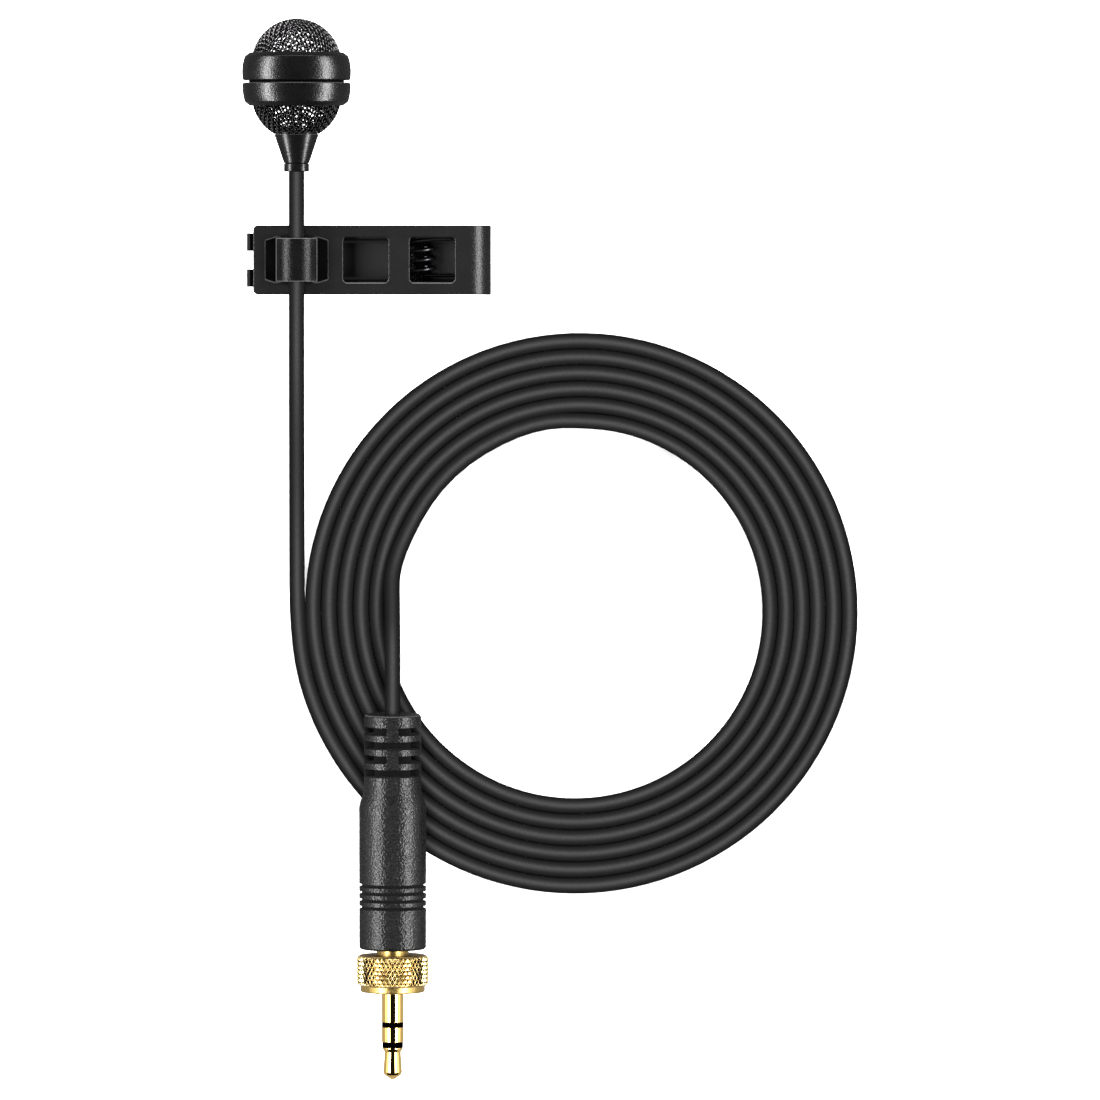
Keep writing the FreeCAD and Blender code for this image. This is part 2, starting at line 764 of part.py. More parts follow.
def route(points):
    """Straight runs joined by tangent arcs, each as large as its two runs allow."""
    points = [FreeCAD.Vector(*point) for point in points]
    edges, here, radii = [], points[0], []
    for before, corner, after in zip(points, points[1:], points[2:]):
        back, ahead = before - corner, after - corner
        shorter = min(back.Length, ahead.Length)
        half_turn = (math.pi - back.getAngle(ahead)) / 2
        reach = 0.45 * shorter
        radii.append(round(reach / math.tan(half_turn), 1))
        start = corner + back.normalize() * reach
        end = corner + ahead.normalize() * reach
        inward = (back + ahead).normalize()
        depth = reach / math.tan(half_turn) * (1 / math.cos(half_turn) - 1)
        edges.append(Part.makeLine(here, start))
        edges.append(Part.Arc(start, corner + inward * depth, end).toShape())
        here = end
    edges.append(Part.makeLine(here, points[-1]))
    return Part.Wire(edges), radii


def cable_run(label, points):
    """A round length of cable along a route."""
    path, radii = route(points)
    start = FreeCAD.Vector(*points[0])
    section = Part.Wire(Part.makeCircle(
        cable_radius.value, start, FreeCAD.Vector(*points[1]) - start))
    run = doc.addObject("Part::Feature", label)
    run.Shape = path.makePipeShell([section], True, True)
    expected = math.pi * cable_radius.value**2 * path.Length
    print(f"{label}: {path.Length:.1f} mm long, radii {radii}, "
          f"volume {run.Shape.Volume / expected:.4f} of section times length")
    return path.Length


def lead_points():
    """From inside the neck, level under the saddle, then down to the table and the coil's step."""
    level, down = dim.head_radius.value, cable_radius.value
    start = dim.gland_face_y.value + dim.crimp_start.value + dim.crimp_length.value
    return [
        (0, start, level),
        (0, dim.lead_level_end.value, level),
        (0, dim.lead_down_end.value, down),
        (0, dim.coil_centre_y.value, down),
    ]


def tail_points():
    """From the coil's innermost strand, rising inside its bore to the rear of the plug's boot."""
    slope = math.tan(math.radians(dim.plug_tilt.value))
    rear_y, rear_height = dim.boot_rear_y.value, dim.boot_rear_height.value
    in_line_y, inside_y = rear_y + dim.tail_straight.value, rear_y - dim.tail_inside.value
    first = math.radians(90 + TAIL_STEP / 2)
    step = math.radians(TAIL_STEP)
    radius = strand_radius(TAIL_TURNS).value / math.cos(step / 2)
    start = on_coil(COIL_TURNS)
    points = [(start.x, start.y, cable_radius.value)]
    for number, height in enumerate(TAIL_HEIGHTS):
        angle = first + number * step
        points.append((
            dim.coil_centre_x.value + radius * math.cos(angle),
            dim.coil_centre_y.value + radius * math.sin(angle), height))
    points[1] = (points[1][0], start.y, points[1][2])
    points[3] = (plug_x.value, points[3][1], points[3][2])
    points.append((plug_x.value, in_line_y, rear_height + (in_line_y - rear_y) * slope))
    points.append((plug_x.value, inside_y, rear_height + (inside_y - rear_y) * slope))
    return points


def cable():
    cable_coil()
    lead = cable_run("cable_lead", lead_points())
    tail = cable_run("cable_tail", tail_points())
    steps = 720
    turns = [COIL_TURNS * step / steps for step in range(steps + 1)]
    coiled = sum((on_coil(b) - on_coil(a)).Length for a, b in zip(turns, turns[1:]))
    print(f"cable: {lead:.0f} + {coiled:.0f} + {tail:.0f} = {lead + coiled + tail:.0f} mm")


# ---------------------------------------------------------------- plug


def plug_boot():
    """The moulded boot: four rows of flex slots, a flare and four thin grooves round the grip."""
    bore, rear, grip = cable_bore, dim.boot_rear_radius, dim.boot_radius
    corners = [(bore, 0), (rear - dim.boot_rear_round, 0, -dim.boot_rear_round),
               (rear, dim.boot_rear_round), (rear, dim.boot_waist_end),
               (grip, dim.boot_flare_end)]
    for number in range(4):
        start = dim.rib_groove_first + dim.rib_groove_pitch * number
        end = start + dim.rib_groove_width
        floor = grip - dim.rib_groove_depth
        corners += [(grip, start), (floor, start), (floor, end), (grip, end)]
    edge = dim.boot_front_bevel
    corners += [
        (grip, dim.boot_length - edge), (grip - edge, dim.boot_length),
        (dim.boot_cavity_radius, dim.boot_length), (dim.boot_cavity_radius, dim.boot_bore_end),
        (bore, dim.boot_bore_end),
    ]
    blank = revolved("BootBlank", corners)
    slots = fused("FlexSlots", [flex_slot(number) for number in range(4)])
    return boolean("Cut", "plug_boot", blank, slots)


def flex_slot(number):
    """A ring-shaped slot, left whole at two bridges that change sides from row to row."""
    width = dim.flex_slot_width
    start = dim.flex_slot_first + dim.flex_slot_pitch * number
    name = f"FlexSlot{number + 1}"
    outside = primitive("Cylinder", name + "Outside", {
        "Radius": dim.boot_radius, "Height": width}, 0, 0, start)
    inside = primitive("Cylinder", name + "Inside", {
        "Radius": dim.flex_slot_radius, "Height": width}, 0, 0, start)
    along, across = dim.flex_bridge, dim.boot_radius * 2
    if number % 2:
        along, across = across, along
    bridge = primitive("Box", name + "Bridge", {
        "Length": along, "Width": across, "Height": width}, -along / 2, -across / 2, start)
    return boolean("Cut", name, outside, fused(name + "Kept", [inside, bridge]))


def plug_stem():
    """The brass stem: wide inside the boot, narrow where the nut turns on it."""
    inner = dim.stem_radius
    return revolved("plug_stem", [
        (inner, dim.stem_start), (dim.boot_cavity_radius, dim.stem_start),
        (dim.boot_cavity_radius, dim.boot_length), (dim.stem_radius, dim.boot_length),
        (dim.stem_radius, dim.stem_end), (dim.stem_bore, dim.stem_end),
        (dim.stem_bore, dim.sleeve_start), (inner, dim.sleeve_start),
    ])


def locking_nut():
    """The knurled nut that screws the plug to its transmitter, open and threaded at the front."""
    radius, collar, bevel = dim.nut_radius, dim.nut_collar_radius, dim.nut_bevel
    floor = dim.nut_start + dim.nut_floor
    bore = dim.stem_radius + dim.nut_clearance
    return revolved("locking_nut", [
        (bore, dim.nut_start), (radius - bevel, dim.nut_start),
        (radius, dim.nut_start + bevel), (radius, dim.nut_shoulder - bevel),
        (radius - bevel, dim.nut_shoulder), (collar, dim.nut_shoulder),
        (collar, dim.nut_end - bevel), (collar - bevel, dim.nut_end),
        (dim.nut_thread_radius, dim.nut_end), (dim.nut_thread_radius, floor), (bore, floor),
    ])


def plug_contacts():
    """The plug's nested contacts and the insulators between them, from the outside in."""
    pin, rear, ring_end = dim.pin_radius_of_plug, dim.ring_contact_start, dim.ring_contact_end
    sleeve = revolved("plug_sleeve", [
        (dim.sleeve_bore, dim.sleeve_start), (dim.stem_bore, dim.sleeve_start),
        (dim.stem_bore, dim.stem_end), (pin, dim.stem_end), (pin, dim.sleeve_end),
        (dim.sleeve_bore, dim.sleeve_end),
    ])
    rear_start = dim.sleeve_start - dim.insulator_overhang
    front_start = dim.ring_tube_start - dim.insulator_overhang
    insulator_rear = revolved("insulator_rear", [
        (dim.ring_tube_radius, rear_start), (dim.sleeve_bore, rear_start),
        (dim.sleeve_bore, dim.sleeve_end), (dim.insulator_radius, dim.sleeve_end),
        (dim.insulator_radius, rear), (dim.ring_tube_radius, rear),
    ])
    ring_contact = revolved("plug_ring_contact", [
        (dim.ring_tube_bore, dim.ring_tube_start), (dim.ring_tube_radius, dim.ring_tube_start),
        (dim.ring_tube_radius, rear), (pin, rear), (pin, ring_end), (dim.ring_tube_bore, ring_end),
    ])
    insulator_front = revolved("insulator_front", [
        (dim.tip_rod_radius, front_start), (dim.ring_tube_bore, front_start),
        (dim.ring_tube_bore, ring_end),
        (dim.insulator_radius, ring_end), (dim.insulator_radius, dim.tip_start),
        (dim.tip_rod_radius, dim.tip_start),
    ])
    tip = revolved("plug_tip", [
        (0, dim.tip_rod_start), (dim.tip_rod_radius, dim.tip_rod_start),
        (dim.tip_rod_radius, dim.tip_start), (dim.tip_start_radius, dim.tip_start),
        (dim.tip_waist_radius, dim.tip_waist), (dim.tip_bulge_radius, dim.tip_bulge),
        (dim.tip_end_radius, dim.tip_end), (0, dim.tip_end),
    ])
    return [sleeve, insulator_rear, ring_contact, insulator_front, tip]


def plug_wiring():
    """The two soldered terminals, the crimp on the cable's end and the wires between them."""
    thickness, reach = dim.terminal_thickness, dim.tip_terminal_radius
    tip_end = dim.tip_rod_start + thickness
    ring_end = dim.ring_tube_start + thickness
    crimp_start = dim.boot_bore_end + dim.plug_crimp_gap
    crimp_end = crimp_start + dim.plug_crimp_length
    pieces = [
        tube("tip_terminal", dim.tip_rod_radius, reach, dim.tip_rod_start, tip_end),
        tube("ring_terminal", dim.ring_tube_radius, dim.ring_terminal_radius,
             dim.ring_tube_start, ring_end),
        tube("plug_crimp", cable_radius, cable_radius + dim.crimp_wall * 2, crimp_start, crimp_end),
    ]
    for piece in pieces:
        place_on_plug(piece)
    for label, side, end in (("tip_wire", 1, dim.tip_rod_start),
                             ("ring_wire", -1, dim.ring_tube_start)):
        offset = dim.plug_wire_offset if side > 0 else -reach - dim.wire_radius
        wire = rod(label, dim.wire_radius, crimp_end, end)
        place_on_plug(wire)
        wire.Placement.Base.x = (plug_x + offset).value
        bind(wire, "Placement.Base.x", plug_x + offset)


def plug():
    keeper_start = dim.nut_start + dim.nut_floor + dim.keeper_gap
    pieces = [
        plug_boot(),
        plug_stem(),
        locking_nut(),
        tube("nut_keeper", dim.stem_radius, dim.keeper_radius, keeper_start,
             keeper_start + dim.keeper_length),
    ]
    for piece in pieces + plug_contacts():
        place_on_plug(piece)
    plug_wiring()


# ---------------------------------------------------------------- check and write

NODES = [
    "front_grille", "front_ring", "core_ring", "rear_ring", "rear_grille", "neck_cone",
    "cable_gland", "capsule_can", "capsule_felt", "capsule_board", "capsule_mount",
    "strain_crimp", "signal_wire", "ground_wire",
    "clip_front_plate", "cable_saddle", "clip_rear_jaw", "pivot_pin", "torsion_spring",
    "cable_lead", "cable_coil", "cable_tail",
    "plug_boot", "plug_stem", "locking_nut", "nut_keeper", "plug_sleeve", "insulator_rear",
    "plug_ring_contact", "insulator_front", "plug_tip", "tip_terminal", "ring_terminal",
    "plug_crimp", "tip_wire", "ring_wire",
]


def write_parts():
    """Checks every object of the document, then writes each sub-part's shape."""
    doc.recompute()
    for item in doc.Objects:
        if "Invalid" in item.State or "Error" in item.State:
            raise RuntimeError(f"{item.Label} failed: {item.State}")
    by_label = {item.Label: item for item in doc.Objects}
    os.makedirs("parts", exist_ok=True)
    for label in NODES:
        shape = by_label[label].Shape
        if shape.isNull() or not shape.isValid() or shape.Volume <= 0:
            raise RuntimeError(f"{label} has no valid solid")
        shape.exportStep(f"parts/{label}.step")


head()
clip()
cable()
plug()
write_parts()
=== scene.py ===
import json
import math

import bmesh
import bpy
from mathutils import Matrix, Vector


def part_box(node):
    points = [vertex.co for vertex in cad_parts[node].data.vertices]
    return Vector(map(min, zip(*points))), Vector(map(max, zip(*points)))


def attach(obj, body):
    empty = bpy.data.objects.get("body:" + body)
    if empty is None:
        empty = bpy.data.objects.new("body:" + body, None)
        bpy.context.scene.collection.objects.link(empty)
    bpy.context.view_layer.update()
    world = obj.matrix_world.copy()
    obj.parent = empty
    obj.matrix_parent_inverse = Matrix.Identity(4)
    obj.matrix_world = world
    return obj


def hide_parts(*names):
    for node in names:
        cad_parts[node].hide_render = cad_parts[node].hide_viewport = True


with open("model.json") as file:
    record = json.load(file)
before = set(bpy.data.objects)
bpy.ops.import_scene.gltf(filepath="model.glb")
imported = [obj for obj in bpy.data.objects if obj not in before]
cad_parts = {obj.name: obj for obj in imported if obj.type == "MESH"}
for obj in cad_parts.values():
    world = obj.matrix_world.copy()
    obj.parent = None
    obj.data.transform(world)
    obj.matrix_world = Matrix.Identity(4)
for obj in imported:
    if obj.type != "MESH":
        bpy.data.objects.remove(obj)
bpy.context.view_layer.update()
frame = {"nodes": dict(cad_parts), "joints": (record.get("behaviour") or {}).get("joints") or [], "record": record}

# ------------------------------------------------------------------ sizes, in metres

MM = 0.001
FINE_STEPS = 192          # facets round a turned piece
ROUND_STEPS = 5           # facets round a small edge
FAR = 90 * MM             # past the end of any piece

# the cable
CABLE_RADIUS = 1.235 * MM
COIL_CENTRE_X = 44.5 * MM
COIL_CENTRE_Y = -55.36 * MM
COIL_PITCH = 2.536 * MM
COIL_TURNS = 5.75
POINTS_PER_TURN = 24


def joint(name):
    return next(j for j in frame["joints"] if j["name"] == name)


def middle_of(node):
    low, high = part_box(node)
    return (low + high) / 2


# the head's axis runs along +Y, from the face where the cable enters
HEAD_ORIGIN = Vector((0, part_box("cable_gland")[0].y, middle_of("front_ring").z))
HEAD_MATRIX = Matrix.Translation(HEAD_ORIGIN) @ Matrix.Rotation(math.radians(-90), 4, "X")

# the plug's axis runs towards its tip, from the rear face of the boot
NUT_HINGE_STATION = 41.0 * MM
PLUG_AXIS = Vector(joint("nut_spin")["axis"]).normalized()
PLUG_ORIGIN = Vector(joint("nut_spin")["pos_m"]) - PLUG_AXIS * NUT_HINGE_STATION
PLUG_TILT = math.asin(-PLUG_AXIS.z)
PLUG_MATRIX = Matrix.Translation(PLUG_ORIGIN) @ Matrix.Rotation(math.pi / 2 + PLUG_TILT, 4, "X")


# ------------------------------------------------------------------ materials

NOISE_RANGE = (0.3, 0.7)      # where nearly all of a noise's values lie


def new_material(name):
    material = bpy.data.materials.new(name)
    material.use_nodes = True
    nodes, links = material.node_tree.nodes, material.node_tree.links
    return material, nodes, links, nodes["Principled BSDF"]


def node_of(nodes, kind, **inputs):
    """A shader node with some of its inputs set."""
    made = nodes.new(kind)
    for name, value in inputs.items():
        made.inputs[name.replace("_", " ")].default_value = value
    return made


def grain(nodes, links, grain_size, detail=2.0):
    """Noise in the object's own space; grain_size in metres."""
    place = nodes.new("ShaderNodeTexCoord")
    noise = node_of(nodes, "ShaderNodeTexNoise", Scale=1 / grain_size, Detail=detail)
    links.new(place.outputs["Object"], noise.inputs["Vector"])
    return noise


def ramp(nodes, links, noise, low, high):
    """Maps a noise onto the colours between two."""
    made = nodes.new("ShaderNodeValToRGB")
    for element, position, colour in zip(made.color_ramp.elements, NOISE_RANGE, (low, high)):
        element.position = position
        element.color = (*colour, 1)
    links.new(noise.outputs["Fac"], made.inputs["Fac"])
    return made.outputs["Color"]


def spread(nodes, links, noise, low, high):
    """Maps a noise onto the numbers between two."""
    made = nodes.new("ShaderNodeMapRange")
    for end, at, value in zip(("Min", "Max"), NOISE_RANGE, (low, high)):
        made.inputs[f"From {end}"].default_value = at
        made.inputs[f"To {end}"].default_value = value
    links.new(noise.outputs["Fac"], made.inputs["Value"])
    return made.outputs["Result"]


def bumped(nodes, links, shader, noise, depth, strength=1.0):
    """Raises the surface by a noise, by up to depth in metres."""
    bump = node_of(nodes, "ShaderNodeBump", Strength=strength, Distance=depth)
    links.new(noise.outputs["Fac"], bump.inputs["Height"])
    links.new(bump.outputs["Normal"], shader.inputs["Normal"])


def marked(nodes, links, mark, source, value):
    """The source, but the given value on the faces that carry the mark."""
    attribute = nodes.new("ShaderNodeAttribute")
    attribute.attribute_name = mark
    mix = nodes.new("ShaderNodeMixRGB")
    mix.inputs["Color2"].default_value = (*value, 1)
    links.new(attribute.outputs["Fac"], mix.inputs["Fac"])
    links.new(source, mix.inputs["Color1"])
    return mix.outputs["Color"]


def coated_metal(name, dark, light, roughness, grain_size, depth, specular=0.5, painted_highlight=0):
    """Fine-textured black coating: tiny bumps, a little uneven in gloss, its shade between
    dark and light. Marked faces are painted pale, as a highlight on their edges."""
    material, nodes, links, shader = new_material(name)
    fine = grain(nodes, links, grain_size)
    broad = grain(nodes, links, grain_size * 14, 3.0)
    colour = ramp(nodes, links, broad, (dark,) * 3, (light, light, light * 1.04))
    # marked faces get a pale colour: a painted highlight
    if painted_highlight:
        colour = marked(nodes, links, "painted_highlight_faces", colour, (painted_highlight,) * 3)
    links.new(colour, shader.inputs["Base Color"])
    gloss = spread(nodes, links, fine, roughness - 0.05, roughness + 0.07)
    links.new(gloss, shader.inputs["Roughness"])
    shader.inputs["Specular IOR Level"].default_value = specular
    bumped(nodes, links, shader, fine, depth)
    return material


def rubber(name, shade, roughness, grain_size, depth, specular=0.3, speckle=0.25, painted_highlight=0):
    """Moulded rubber with a pebbled surface, paler and glossier in specks. Faces marked for a
    highlight are painted pale, those marked for shade are painted black and matt."""
    material, nodes, links, shader = new_material(name)
    fine = grain(nodes, links, grain_size, 1.0)
    low, high = shade * (1 - speckle), shade * (1 + speckle)
    colour = ramp(nodes, links, fine, (low,) * 3, (high,) * 3)
    drift = speckle * 0.12
    gloss = spread(nodes, links, fine, roughness + drift, roughness - drift)
    # marked faces are painted pale as a highlight, or black and matt as shade
    if painted_highlight:
        colour = marked(nodes, links, "painted_highlight_faces", colour, (painted_highlight,) * 3)
        colour = marked(nodes, links, "painted_shade_faces", colour, (0.002,) * 3)
        gloss = marked(nodes, links, "painted_shade_faces", gloss, (1.0,) * 3)
    links.new(colour, shader.inputs["Base Color"])
    links.new(gloss, shader.inputs["Roughness"])
    shader.inputs["Specular IOR Level"].default_value = specular
    bumped(nodes, links, shader, fine, depth)
    return material


def metal(name, colour, roughness, grain_size, depth):
    """Polished or satin metal with faint turning marks and slight colour drift."""
    material, nodes, links, shader = new_material(name)
    fine = grain(nodes, links, grain_size)
    broad = grain(nodes, links, grain_size * 30)
    tint = ramp(nodes, links, broad, [c * 0.93 for c in colour], colour)
    links.new(tint, shader.inputs["Base Color"])
    gloss = spread(nodes, links, fine, roughness * 0.8, roughness * 1.3)
    links.new(gloss, shader.inputs["Roughness"])
    shader.inputs["Metallic"].default_value = 1.0
    bumped(nodes, links, shader, fine, depth, 0.4)
    return material


def plastic(name, colour, roughness):
    """Smooth moulded plastic or enamel."""
    material, nodes, links, shader = new_material(name)
    fine = grain(nodes, links, 0.3 * MM)
    tint = ramp(nodes, links, fine, [c * 0.9 for c in colour], colour)
    links.new(tint, shader.inputs["Base Color"])
    gloss = spread(nodes, links, fine, roughness - 0.04, roughness + 0.05)
    links.new(gloss, shader.inputs["Roughness"])
    bumped(nodes, links, shader, fine, 0.002 * MM, 0.5)
    return material


MATERIALS = {
    "grille_mesh": coated_metal(
        "black_wire", 0.006, 0.014, 0.20, 0.12 * MM, 0.004 * MM, specular=0.6),
    # the rings' and the neck's marked front edges are painted pale: a painted highlight
    "ring_black": coated_metal(
        "ring_coating", 0.004, 0.007, 0.25, 0.24 * MM, 0.040 * MM, painted_highlight=0.09),
    "neck_black": coated_metal(
        "neck_coating", 0.004, 0.007, 0.26, 0.26 * MM, 0.014 * MM, specular=0.38, painted_highlight=0.09),
    # the core is black, and its coating is set darker and matter than the rings': painted shade in the groove
    "core_black": coated_metal(
        "core_coating", 0.001, 0.002, 0.7, 0.26 * MM, 0.010 * MM, specular=0.05),
    "cable_black": rubber(
        "cable_jacket", 0.010, 0.62, 0.35 * MM, 0.004 * MM, specular=0.5, speckle=0.2),
    "capsule_metal": metal("capsule_metal", (0.70, 0.70, 0.72), 0.3, 0.2 * MM, 0.002 * MM),
    "felt_black": rubber("felt", 0.02, 0.9, 0.08 * MM, 0.03 * MM),
    "board_green": plastic("solder_mask", (0.02, 0.16, 0.07), 0.4),
    "inner_rubber": rubber("inner_rubber", 0.03, 0.7, 0.3 * MM, 0.004 * MM),
    "crimp_steel": metal("tinned_steel", (0.55, 0.55, 0.56), 0.35, 0.1 * MM, 0.004 * MM),
    "wire_red": plastic("red_insulation", (0.45, 0.02, 0.02), 0.35),
    "wire_white": plastic("white_insulation", (0.75, 0.74, 0.70), 0.35),
    "wire_black": plastic("black_insulation", (0.01, 0.01, 0.01), 0.4),
    # the leaf's marked rims are painted pale: a painted highlight
    "clip_black": coated_metal(
        "clip_coating", 0.007, 0.011, 0.29, 0.26 * MM, 0.042 * MM, painted_highlight=0.15),
    "spring_steel": metal("blackened_spring", (0.07, 0.07, 0.075), 0.3, 0.15 * MM, 0.002 * MM),
    # the boot's rear rim is painted pale as a highlight, its slot floors black as painted shade
    "boot_rubber": rubber(
        "boot_rubber", 0.012, 0.27, 0.34 * MM, 0.115 * MM, specular=0.5, speckle=0.9, painted_highlight=0.10),
    "gold_plate": metal("gold_plate", (1.0, 0.66, 0.22), 0.03, 0.4 * MM, 0.0003 * MM),
    "insulator_black": plastic("insulator", (0.001, 0.001, 0.001), 0.5),
}
GOLD_SATIN = metal("gold_satin", (0.54, 0.37, 0.12), 0.29, 0.25 * MM, 0.006 * MM)
GOLD_CUT = metal("gold_cut", (0.62, 0.46, 0.19), 0.12, 0.2 * MM, 0.004 * MM)
# a darker copy of the gold plate: painted reflection of the dark boot behind the nut's rear face
SHADED_GOLD_FACE = metal("gold_face_painted_shade", (0.30, 0.20, 0.07), 0.5, 0.25 * MM, 0.004 * MM)
JAW_BLACK = coated_metal("jaw_coating", 0.012, 0.018, 0.40, 0.26 * MM, 0.010 * MM)
# the saddle's marked edges are painted pale: a painted highlight
SADDLE_BLACK = coated_metal(
    "saddle_coating", 0.002, 0.005, 0.28, 0.26 * MM, 0.060 * MM, specular=0.28, painted_highlight=0.15)


# ------------------------------------------------------------------ building helpers

pieces_by_slot = {slot: [] for slot in MATERIALS}


def paint(piece, slot, finish=None):
    """The slot's own material, or another finish of it."""
    piece.data.materials.clear()
    piece.data.materials.append(finish or MATERIALS[slot])
    pieces_by_slot[slot].append(piece)


def finish_piece(piece, slot, body, *replaced, finish=None):
    """Gives a piece its material, the body it rides on and the CAD nodes it stands for."""
    paint(piece, slot, finish)
    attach(piece, body)
    if replaced:
        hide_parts(*replaced)
    return piece


def object_from_bmesh(name, mesh, matrix=None, sharp=35):
    """An object whose edges are hard where its faces turn by more than sharp, in degrees."""
    bmesh.ops.recalc_face_normals(mesh, faces=mesh.faces)
    data = bpy.data.meshes.new(name)
    mesh.to_mesh(data)
    mesh.free()
    if matrix:
        data.transform(matrix)
    data.shade_smooth()
    data.set_sharp_from_angle(angle=math.radians(sharp))
    piece = bpy.data.objects.new(name, data)
    bpy.context.scene.collection.objects.link(piece)
    return piece


def rounded_path(corners, steps=ROUND_STEPS):
    """A closed outline's points. Its corners are (x, y), or (x, y, radius) for a round one."""
    points = []
    for index, corner in enumerate(corners):
        here = Vector(corner[:2])
        radius = corner[2] if len(corner) > 2 else 0
        if not radius:
            points.append(here)
            continue
        back = Vector(corners[index - 1][:2]) - here
        ahead = Vector(corners[(index + 1) % len(corners)][:2]) - here
        half = back.angle(ahead) / 2
        reach = min(radius / math.tan(half), back.length * 0.49, ahead.length * 0.49)
        radius = reach * math.tan(half)
        centre = here + (back.normalized() + ahead.normalized()).normalized() * (
            radius / math.sin(half))
        start = here + back.normalized() * reach - centre
        turn = start.angle_signed(here + ahead.normalized() * reach - centre)
        for step in range(steps + 1):
            spun = Matrix.Rotation(-turn * step / steps, 2) @ start
            points.append(centre + spun)
    return points


def ring_of(mesh, radius, station, angles):
    """A ring of vertices round the Z axis."""
    return [mesh.verts.new((radius * math.cos(angle), radius * math.sin(angle), station))
            for angle in angles]


def even_angles(count):
    return [2 * math.pi * step / count for step in range(count)]


def join_rows(mesh, row, after):
    """A band of quads between two rings of vertices."""
    for step in range(len(row)):
        turn = (step + 1) % len(row)
        mesh.faces.new((row[step], row[turn], after[turn], after[step]))


def lathe(name, corners, matrix):
    """A turned piece: the closed outline's x is the radius, its y the station on the axis."""
    mesh = bmesh.new()
    angles = even_angles(FINE_STEPS)
    rings = []
    for radius, station in rounded_path(corners):
        on_axis = radius < 1e-7
        rings.append(ring_of(mesh, radius, station, angles[:1] if on_axis else angles))
    for ring, after in zip(rings, rings[1:] + rings[:1]):
        if len(ring) == 1 and len(after) == 1:
            continue
        for step in range(FINE_STEPS):
            turn = (step + 1) % FINE_STEPS
            face = [ring[step % len(ring)], ring[turn % len(ring)],
                    after[turn % len(after)], after[step % len(after)]]
            mesh.faces.new(list(dict.fromkeys(face)))
    return object_from_bmesh(name, mesh, matrix)


def mark(piece, name, chosen):
    """Marks the chosen faces, for the material to paint pale as a highlight or black as shade."""
    marks = piece.data.attributes.new(name, "FLOAT", "FACE")
    for face in piece.data.polygons:
        marks.data[face.index].value = 1.0 if chosen(face) else 0.0


def grid_shell(stations, angles, place):
    """A tube of quads, open at its ends: place(angle, station) gives each point of its skin."""
    mesh = bmesh.new()
    rows = [[mesh.verts.new(place(angle, station)) for angle in angles] for station in stations]
    for row, after in zip(rows, rows[1:]):
        join_rows(mesh, row, after)
    return mesh, rows


def tube_along(name, points, radius, sides):
    """A round wire through points, as quads."""
    mesh = bmesh.new()
    add_tube(mesh, points, radius, sides)
    return object_from_bmesh(name, mesh, sharp=60)


def add_tube(mesh, points, radius, sides):
    """Adds a tube whose ends are capped."""
    normal = None
    rows = []
    for index, here in enumerate(points):
        ahead = points[min(index + 1, len(points) - 1)] - points[max(index - 1, 0)]
        ahead = ahead.normalized()
        if normal is None:
            normal = ahead.orthogonal().normalized()
        normal = (normal - ahead * normal.dot(ahead)).normalized()
        side = ahead.cross(normal)
        row = []
        for angle in even_angles(sides):
            offset = normal * math.cos(angle) + side * math.sin(angle)
            row.append(mesh.verts.new(here + offset * radius))
        rows.append(row)
    for row, after in zip(rows, rows[1:]):
        join_rows(mesh, row, after)
    mesh.faces.new(list(reversed(rows[0])))
    mesh.faces.new(rows[-1])


def plate(name, outlines, thickness, bevel, matrix):
    """A flat plate with holes and softly rounded edges: the first outline is its outer edge."""
    curve = bpy.data.curves.new(name, "CURVE")
    curve.dimensions = "2D"
    curve.fill_mode = "BOTH"
    curve.extrude = thickness / 2 - bevel
    curve.bevel_depth = bevel
    curve.bevel_resolution = 2
    curve.offset = -bevel
    for outline in outlines:
        spline = curve.splines.new("POLY")
        spline.points.add(len(outline) - 1)
        for point, (x, y) in zip(spline.points, outline):
            point.co = (x, y, 0, 1)
        spline.use_cyclic_u = True
    holder = bpy.data.objects.new(name, curve)
    bpy.context.scene.collection.objects.link(holder)
    bpy.context.view_layer.update()
    data = bpy.data.meshes.new_from_object(
        holder.evaluated_get(bpy.context.evaluated_depsgraph_get()))
    bpy.data.objects.remove(holder)
    mesh = bmesh.new()
    mesh.from_mesh(data)
    bpy.data.meshes.remove(data)
    bmesh.ops.remove_doubles(mesh, verts=mesh.verts, dist=1e-7)
    mesh.transform(matrix)
    return mesh


# ------------------------------------------------------------------ cable


